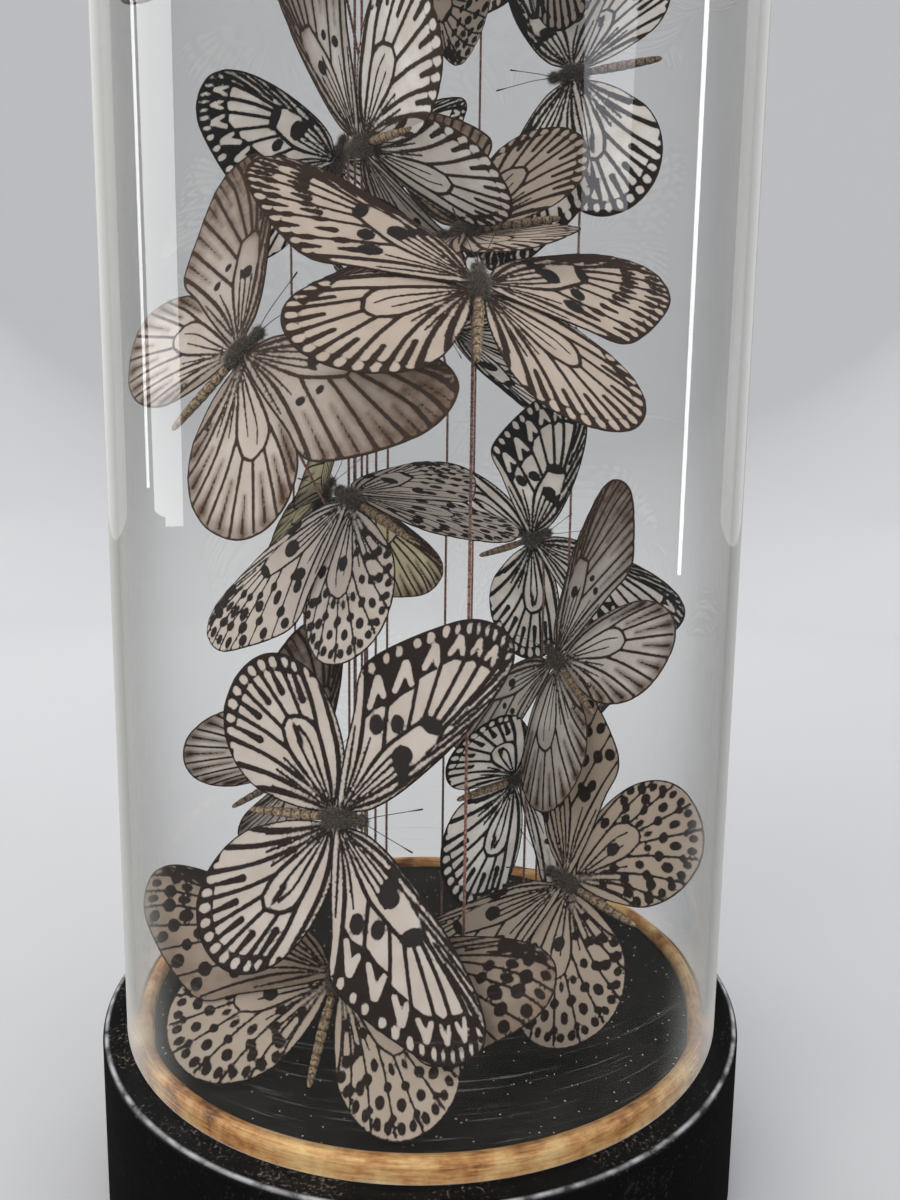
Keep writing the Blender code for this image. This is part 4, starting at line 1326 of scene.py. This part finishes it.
# ---------------------------------------------------------------- wires
def wire_tree():
    """Geometry Nodes that sweep an oval, turning as it goes, along a wire and add its bead."""
    kinds = dict.fromkeys(("Wire radius", "Twist length", "Ring spacing", "Bead radius"),
                          "NodeSocketFloat")
    kinds["Bead place"] = "NodeSocketVector"
    tree, given, sockets = start_nodes("covered_wire", kinds)
    even = add(tree, "GeometryNodeResampleCurve", {"mode": "LENGTH"},
               {"Curve": given.outputs["Geometry"], "Length": given.outputs["Ring spacing"]})
    run = add(tree, "GeometryNodeSplineParameter")
    turns = add(tree, "ShaderNodeMath", {"operation": "DIVIDE"},
                {0: run.outputs["Length"], 1: given.outputs["Twist length"]})
    angle = add(tree, "ShaderNodeMath", {"operation": "MULTIPLY", 1: math.tau}, {0: turns.outputs[0]})
    twisted = add(tree, "GeometryNodeSetCurveTilt", {},
                  {"Curve": even.outputs[0], "Tilt": angle.outputs[0]})
    circle = add(tree, "GeometryNodeCurvePrimitiveCircle", {"Resolution": 8},
                 {"Radius": given.outputs["Wire radius"]})
    strands = add(tree, "GeometryNodeTransform", {"Scale": (1.0, 0.66, 1.0)},
                  {"Geometry": circle.outputs[0]})
    swept = add(tree, "GeometryNodeCurveToMesh", {"Fill Caps": True},
                {"Curve": twisted.outputs[0], "Profile Curve": strands.outputs[0]})
    real = add(tree, "GeometryNodeRealizeInstances", {}, {0: swept.outputs[0]})
    cotton = add(tree, "GeometryNodeSetMaterial", {"Material": COTTON}, {"Geometry": real.outputs[0]})
    ball = add(tree, "GeometryNodeMeshUVSphere", {"Segments": 28, "Rings": 16},
               {"Radius": given.outputs["Bead radius"]})
    there = add(tree, "GeometryNodeTransform", {},
                {"Geometry": ball.outputs[0], "Translation": given.outputs["Bead place"]})
    rubber = add(tree, "GeometryNodeSetMaterial", {"Material": RUBBER}, {"Geometry": there.outputs[0]})
    both = add(tree, "GeometryNodeJoinGeometry")
    tree.links.new(cotton.outputs[0], both.inputs[0])
    tree.links.new(rubber.outputs[0], both.inputs[0])
    add(tree, "NodeGroupOutput", {}, {0: both.outputs[0]})
    return tree, sockets


def rounded_path(foot, bend, end):
    """Foot to end in straight runs, with the bend between them rounded off."""
    before, after = (foot - bend).normalized(), (end - bend).normalized()
    reach = min(BEND_RADIUS * MM, 0.45 * (end - bend).length, 0.45 * (foot - bend).length)
    start, stop = bend + before * reach, bend + after * reach
    arc = [start.lerp(bend, t).lerp(bend.lerp(stop, t), t) for t in np.linspace(0.0, 1.0, 9)]
    return [foot] + arc + [end]


def make_wire(number, specimen, tree, sockets):
    """One covered wire with its bead, in place of its plain solid."""
    name = f"wire_{number:02d}"
    foot = Vector((specimen.foot[0] * MM, specimen.foot[1] * MM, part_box(name)[0].z))
    bend = Vector((foot.x, foot.y, PLINTH_TOP + specimen.bend * MM))
    bead = facing(specimen) @ Vector((0.0, 0.0, -(specimen.bead + THORAX_RADIUS + GAP) * MM))
    path = rounded_path(foot, bend, bead)
    curve = bpy.data.curves.new(name, "CURVE")
    curve.dimensions = "3D"
    spline = curve.splines.new("POLY")
    spline.points.add(len(path) - 1)
    for point, place in zip(spline.points, path):
        point.co = (*place, 1.0)
    source = in_scene(name + "_path", curve)
    sizes = {"Wire radius": WIRE_RADIUS, "Twist length": WIRE_TWIST, "Ring spacing": WIRE_RING,
             "Bead radius": specimen.bead * MM, "Bead place": tuple(bead)}
    mesh = baked(source, tree, sockets, sizes)
    bpy.data.curves.remove(curve)
    mesh.shade_smooth()
    show(name + "_covered", mesh, name)


# ---------------------------------------------------------------- turned pieces
def arc(centre, radius, start, stop, steps):
    """Points of an arc in the (radius, height) plane, angles in degrees."""
    angles = np.radians(np.linspace(start, stop, steps))
    return [(centre[0] + radius * math.cos(a), centre[1] + radius * math.sin(a)) for a in angles]


def turned(name, profile, material, closed=False):
    """A profile of (radius, height) points turned round the Z axis, with a UV map in metres.

    It is closed, or both its ends are on the axis. Two points on the axis one after the
    other are the poles of an outer and an inner skin, and nothing is made between them.
    """
    shape = bmesh.new()
    layer = shape.loops.layers.uv.new("round")
    line = list(profile) + ([profile[0]] if closed else [])
    run = run_along(np.array(line))
    rings = []
    for radius, height in (line[:-1] if closed else line):
        if radius < 1e-7:
            rings.append([shape.verts.new((0.0, 0.0, height))] * TURN_STEPS)
            continue
        rings.append([shape.verts.new((radius * math.cos(math.tau * i / TURN_STEPS),
                                       radius * math.sin(math.tau * i / TURN_STEPS), height))
                      for i in range(TURN_STEPS)])
    if closed:
        rings.append(rings[0])
    mean = float(np.mean([p[0] for p in line])) * math.tau / TURN_STEPS
    for k, (lower, upper) in enumerate(zip(rings, rings[1:])):
        if lower[0] is lower[1] and upper[0] is upper[1]:
            continue
        for i in range(TURN_STEPS):
            j = (i + 1) % TURN_STEPS
            corners = [(lower[i], (i, k)), (lower[j], (i + 1, k)), (upper[j], (i + 1, k + 1)),
                       (upper[i], (i, k + 1))]
            kept = []
            for corner in corners:
                if all(corner[0] is not other[0] for other in kept):
                    kept.append(corner)
            face = shape.faces.new([corner[0] for corner in kept])
            for loop, (_, (around, along)) in zip(face.loops, kept):
                loop[layer].uv = (around * mean, run[along])
    bmesh.ops.recalc_face_normals(shape, faces=shape.faces)
    mesh = bpy.data.meshes.new(name)
    shape.to_mesh(mesh)
    shape.free()
    mesh.materials.append(material)
    mesh.shade_smooth()
    mesh.set_sharp_from_angle(angle=math.radians(40.0))
    return mesh


def make_plinth():
    """Round plinth with worn edges, flat on top and underneath."""
    edge = PLINTH_EDGE
    profile = [(0.0, 0.0), (PLINTH_RADIUS - edge, 0.0)]
    profile += arc((PLINTH_RADIUS - edge, edge), edge, -90.0, 0.0, 6)
    profile += arc((PLINTH_RADIUS - edge, PLINTH_TOP - edge), edge, 0.0, 90.0, 8)
    profile += [(PLINTH_RADIUS * share, PLINTH_TOP) for share in (0.95, 0.9, 0.6, 0.3, 0.0)]
    show("plinth_turned", turned("plinth_turned", profile, plinth_material()), "plinth")


def make_ring():
    """Half-round gilt ring on the board's rim."""
    half = RING_WIDTH / 2
    middle = RING_OUTER - half
    profile = [(middle - half, RING_FOOT), (middle + half, RING_FOOT)]
    profile += arc((middle, RING_TOP - half), half, 0.0, 180.0, 15)
    show("gilt_ring_rubbed", turned("gilt_ring_rubbed", profile, gilt_material(), closed=True),
         "gilt_ring")


def make_glass():
    """Blown dome: a straight wall with a fire-polished lip and a half-round crown."""
    inner = GLASS_RADIUS - GLASS_WALL
    crown = GLASS_TOP - GLASS_RADIUS
    lip = GLASS_WALL / 2
    wall = np.linspace(GLASS_FOOT + 0.02, crown, 10)
    profile = arc((GLASS_RADIUS - lip, GLASS_FOOT + lip), lip, -180.0, 0.0, 13)
    profile += [(GLASS_RADIUS, height) for height in wall[:-1]]
    profile += arc((0.0, crown), GLASS_RADIUS, 0.0, CROWN_END, CROWN_STEPS) + [(0.0, GLASS_TOP)]
    profile += [(0.0, crown + inner)] + arc((0.0, crown), inner, CROWN_END, 0.0, CROWN_STEPS)
    profile += [(inner, height) for height in wall[-2::-1]]
    mesh = turned("glass_dome_blown", profile, glass_material(), closed=True)
    show("glass_dome_blown", mesh, "glass_dome")


def make_floor():
    """Black board with dust and fallen scales scattered on it by Geometry Nodes."""
    edge = BOARD_EDGE
    profile = [(0.0, FLOOR_FOOT), (FLOOR_RADIUS, FLOOR_FOOT)]
    profile += arc((FLOOR_RADIUS - edge, FLOOR_TOP - edge), edge, 0.0, 90.0, 4)
    profile += [(FLOOR_RADIUS * share, FLOOR_TOP) for share in (0.8, 0.5, 0.2, 0.0)]
    board = turned("floor_board_dusty", profile, floor_material())
    source = in_scene("floor_board_source", board)
    tree, given, sockets = start_nodes("dust", dict.fromkeys(DUST, "NodeSocketFloat"))
    normal = add(tree, "GeometryNodeInputNormal")
    facing_up = add(tree, "ShaderNodeSeparateXYZ", {}, {0: normal.outputs[0]})
    top = add(tree, "FunctionNodeCompare", {"data_type": "FLOAT", "operation": "GREATER_THAN", 1: 0.9},
              {0: facing_up.outputs["Z"]})
    spread = add(tree, "GeometryNodeDistributePointsOnFaces", {"Seed": 3},
                 {"Mesh": given.outputs["Geometry"], "Selection": top.outputs[0],
                  "Density": given.outputs["Specks per square metre"]})
    speck = add(tree, "GeometryNodeMeshIcoSphere", {"Subdivisions": 1},
                {"Radius": given.outputs["Speck size"]})
    size = add(tree, "FunctionNodeRandomValue", {"data_type": "FLOAT_VECTOR", 0: (0.2, 0.2, 0.1),
                                                 1: (1.1, 0.6, 0.25), "Seed": 8})
    spin = add(tree, "FunctionNodeRandomValue", {"data_type": "FLOAT_VECTOR", 0: (0.0, 0.0, 0.0),
                                                 1: (0.0, 0.0, 6.28), "Seed": 9})
    lying = add(tree, "GeometryNodeInstanceOnPoints", {},
                {"Points": spread.outputs["Points"], "Instance": speck.outputs["Mesh"],
                 "Rotation": spin.outputs[0], "Scale": size.outputs[0]})
    real = add(tree, "GeometryNodeRealizeInstances", {}, {0: lying.outputs[0]})
    dusted = add(tree, "GeometryNodeSetMaterial", {"Material": dust_material()},
                 {"Geometry": real.outputs[0]})
    both = add(tree, "GeometryNodeJoinGeometry")
    tree.links.new(given.outputs["Geometry"], both.inputs[0])
    tree.links.new(dusted.outputs[0], both.inputs[0])
    add(tree, "NodeGroupOutput", {}, {0: both.outputs[0]})
    mesh = baked(source, tree, sockets, DUST)
    show("floor_board_dusty", mesh, "floor_board")


# ---------------------------------------------------------------- room, lights, camera
def make_room():
    """A plain pale floor that curves up into a round wall behind, open in front and on top."""
    profile = [(0.4, 0.0), (1.2, 0.0)]
    profile += arc((ROOM_RADIUS - ROOM_CURVE, ROOM_CURVE), ROOM_CURVE, -90.0, 0.0, 12)
    profile.append((ROOM_RADIUS, ROOM_HEIGHT))
    angles = [math.tau * i / ROOM_STEPS for i in range(ROOM_STEPS)]
    shape = bmesh.new()
    rings = [[shape.verts.new((radius * math.cos(a), radius * math.sin(a), height - ROOM_DROP))
              for a in angles] for radius, height in profile]
    shape.faces.new(rings[0])
    for k, (lower, upper) in enumerate(zip(rings, rings[1:])):
        for i in range(ROOM_STEPS):
            j = (i + 1) % ROOM_STEPS
            if k < 2 or math.sin(angles[i]) > WALL_FROM:
                shape.faces.new((lower[j], lower[i], upper[i], upper[j]))
    mesh = bpy.data.meshes.new("studio_floor")
    shape.to_mesh(mesh)
    shape.free()
    mesh.shade_smooth()
    material, tree, output = start_material("studio_paper")
    paper = linear(PAPER)
    shade = add(tree, "ShaderNodeMix", {"data_type": "RGBA", 6: paper,
                                        7: tuple(c * MIRRORED_ROOM for c in paper[:3]) + (1.0,)},
                {0: add(tree, "ShaderNodeLightPath").outputs["Glossy Depth"]})
    shader = add(tree, "ShaderNodeBsdfPrincipled", {"Roughness": 0.9, "Specular IOR Level": 0.1},
                 {"Base Color": shade.outputs[2]})
    tree.links.new(shader.outputs[0], output.inputs["Surface"])
    mesh.materials.append(material)
    in_scene("studio_floor", mesh)


def make_light(name, place, aim, size, power, colour, mirrored):
    """A rectangular soft light at a place, turned to shine at a point."""
    lamp = bpy.data.lights.new(name, "AREA")
    lamp.shape = "RECTANGLE"
    lamp.size, lamp.size_y = size
    lamp.energy = power
    lamp.color = linear(colour)[:3]
    light = in_scene(name, lamp)
    turn = (Vector(aim) - Vector(place)).to_track_quat("-Z", "Y")
    light.matrix_world = Matrix.Translation(place) @ turn.to_matrix().to_4x4()
    light.visible_camera = False
    light.visible_transmission = False
    light.visible_glossy = mirrored


def make_lights():
    """Soft key from the upper left, fill, low front and back lamps, tall panes, and the sky."""
    for lamp in LAMPS:
        make_light(*lamp)
    world = bpy.data.worlds.new("studio_sky")
    bpy.context.scene.world = world
    world.use_nodes = True
    tree = world.node_tree
    sky = tree.nodes["Background"]
    sky.inputs["Color"].default_value = linear(SKY)
    strength = add(tree, "ShaderNodeMapRange", {"To Min": 1.0, "To Max": MIRRORED_ROOM},
                   {"Value": add(tree, "ShaderNodeLightPath").outputs["Glossy Depth"]})
    tree.links.new(strength.outputs[0], sky.inputs["Strength"])


def make_camera():
    """Eye a third of a metre from the dome's axis, about half-way up, looking slightly down."""
    data = bpy.data.cameras.new("camera")
    data.sensor_width = SENSOR
    data.lens = LENS
    data.clip_start = NEAREST_SEEN
    camera = in_scene("camera", data)
    camera.matrix_world = (Matrix.Translation(CAMERA_PLACE)
                           @ Matrix.Rotation(math.radians(90.0 - CAMERA_DOWN), 4, 'X')
                           @ Matrix.Rotation(math.radians(CAMERA_ROLL), 4, 'Z'))
    bpy.context.scene.camera = camera


# ---------------------------------------------------------------- build
WING = wing_material()
DOWN_BODY = body_material()
CHITIN = chitin_material()
HAIR = hair_material()
COTTON = wire_material()
RUBBER = bead_material()

make_camera()
make_room()
make_lights()
make_plinth()
make_floor()
make_ring()
make_glass()
BLANKS = {
    "fore": Wing(FORE_OUTLINE, FORE_RIBS, FORE_CELL, FORE_FOLDS, PATTERN_LENGTH, False),
    "hind": Wing(HIND_OUTLINE, HIND_RIBS, HIND_CELL, HIND_FOLDS, PATTERN_LENGTH * HINDWING_SHARE, True),
}
skin_and_down = furry_body()
wire_nodes, wire_sockets = wire_tree()
for number, specimen in enumerate(SPECIMENS, start=1):
    make_butterfly(number, specimen, skin_and_down)
    make_wire(number, specimen, wire_nodes, wire_sockets)
bpy.context.scene.view_settings.view_transform = "Standard"

bpy.context.view_layer.update()
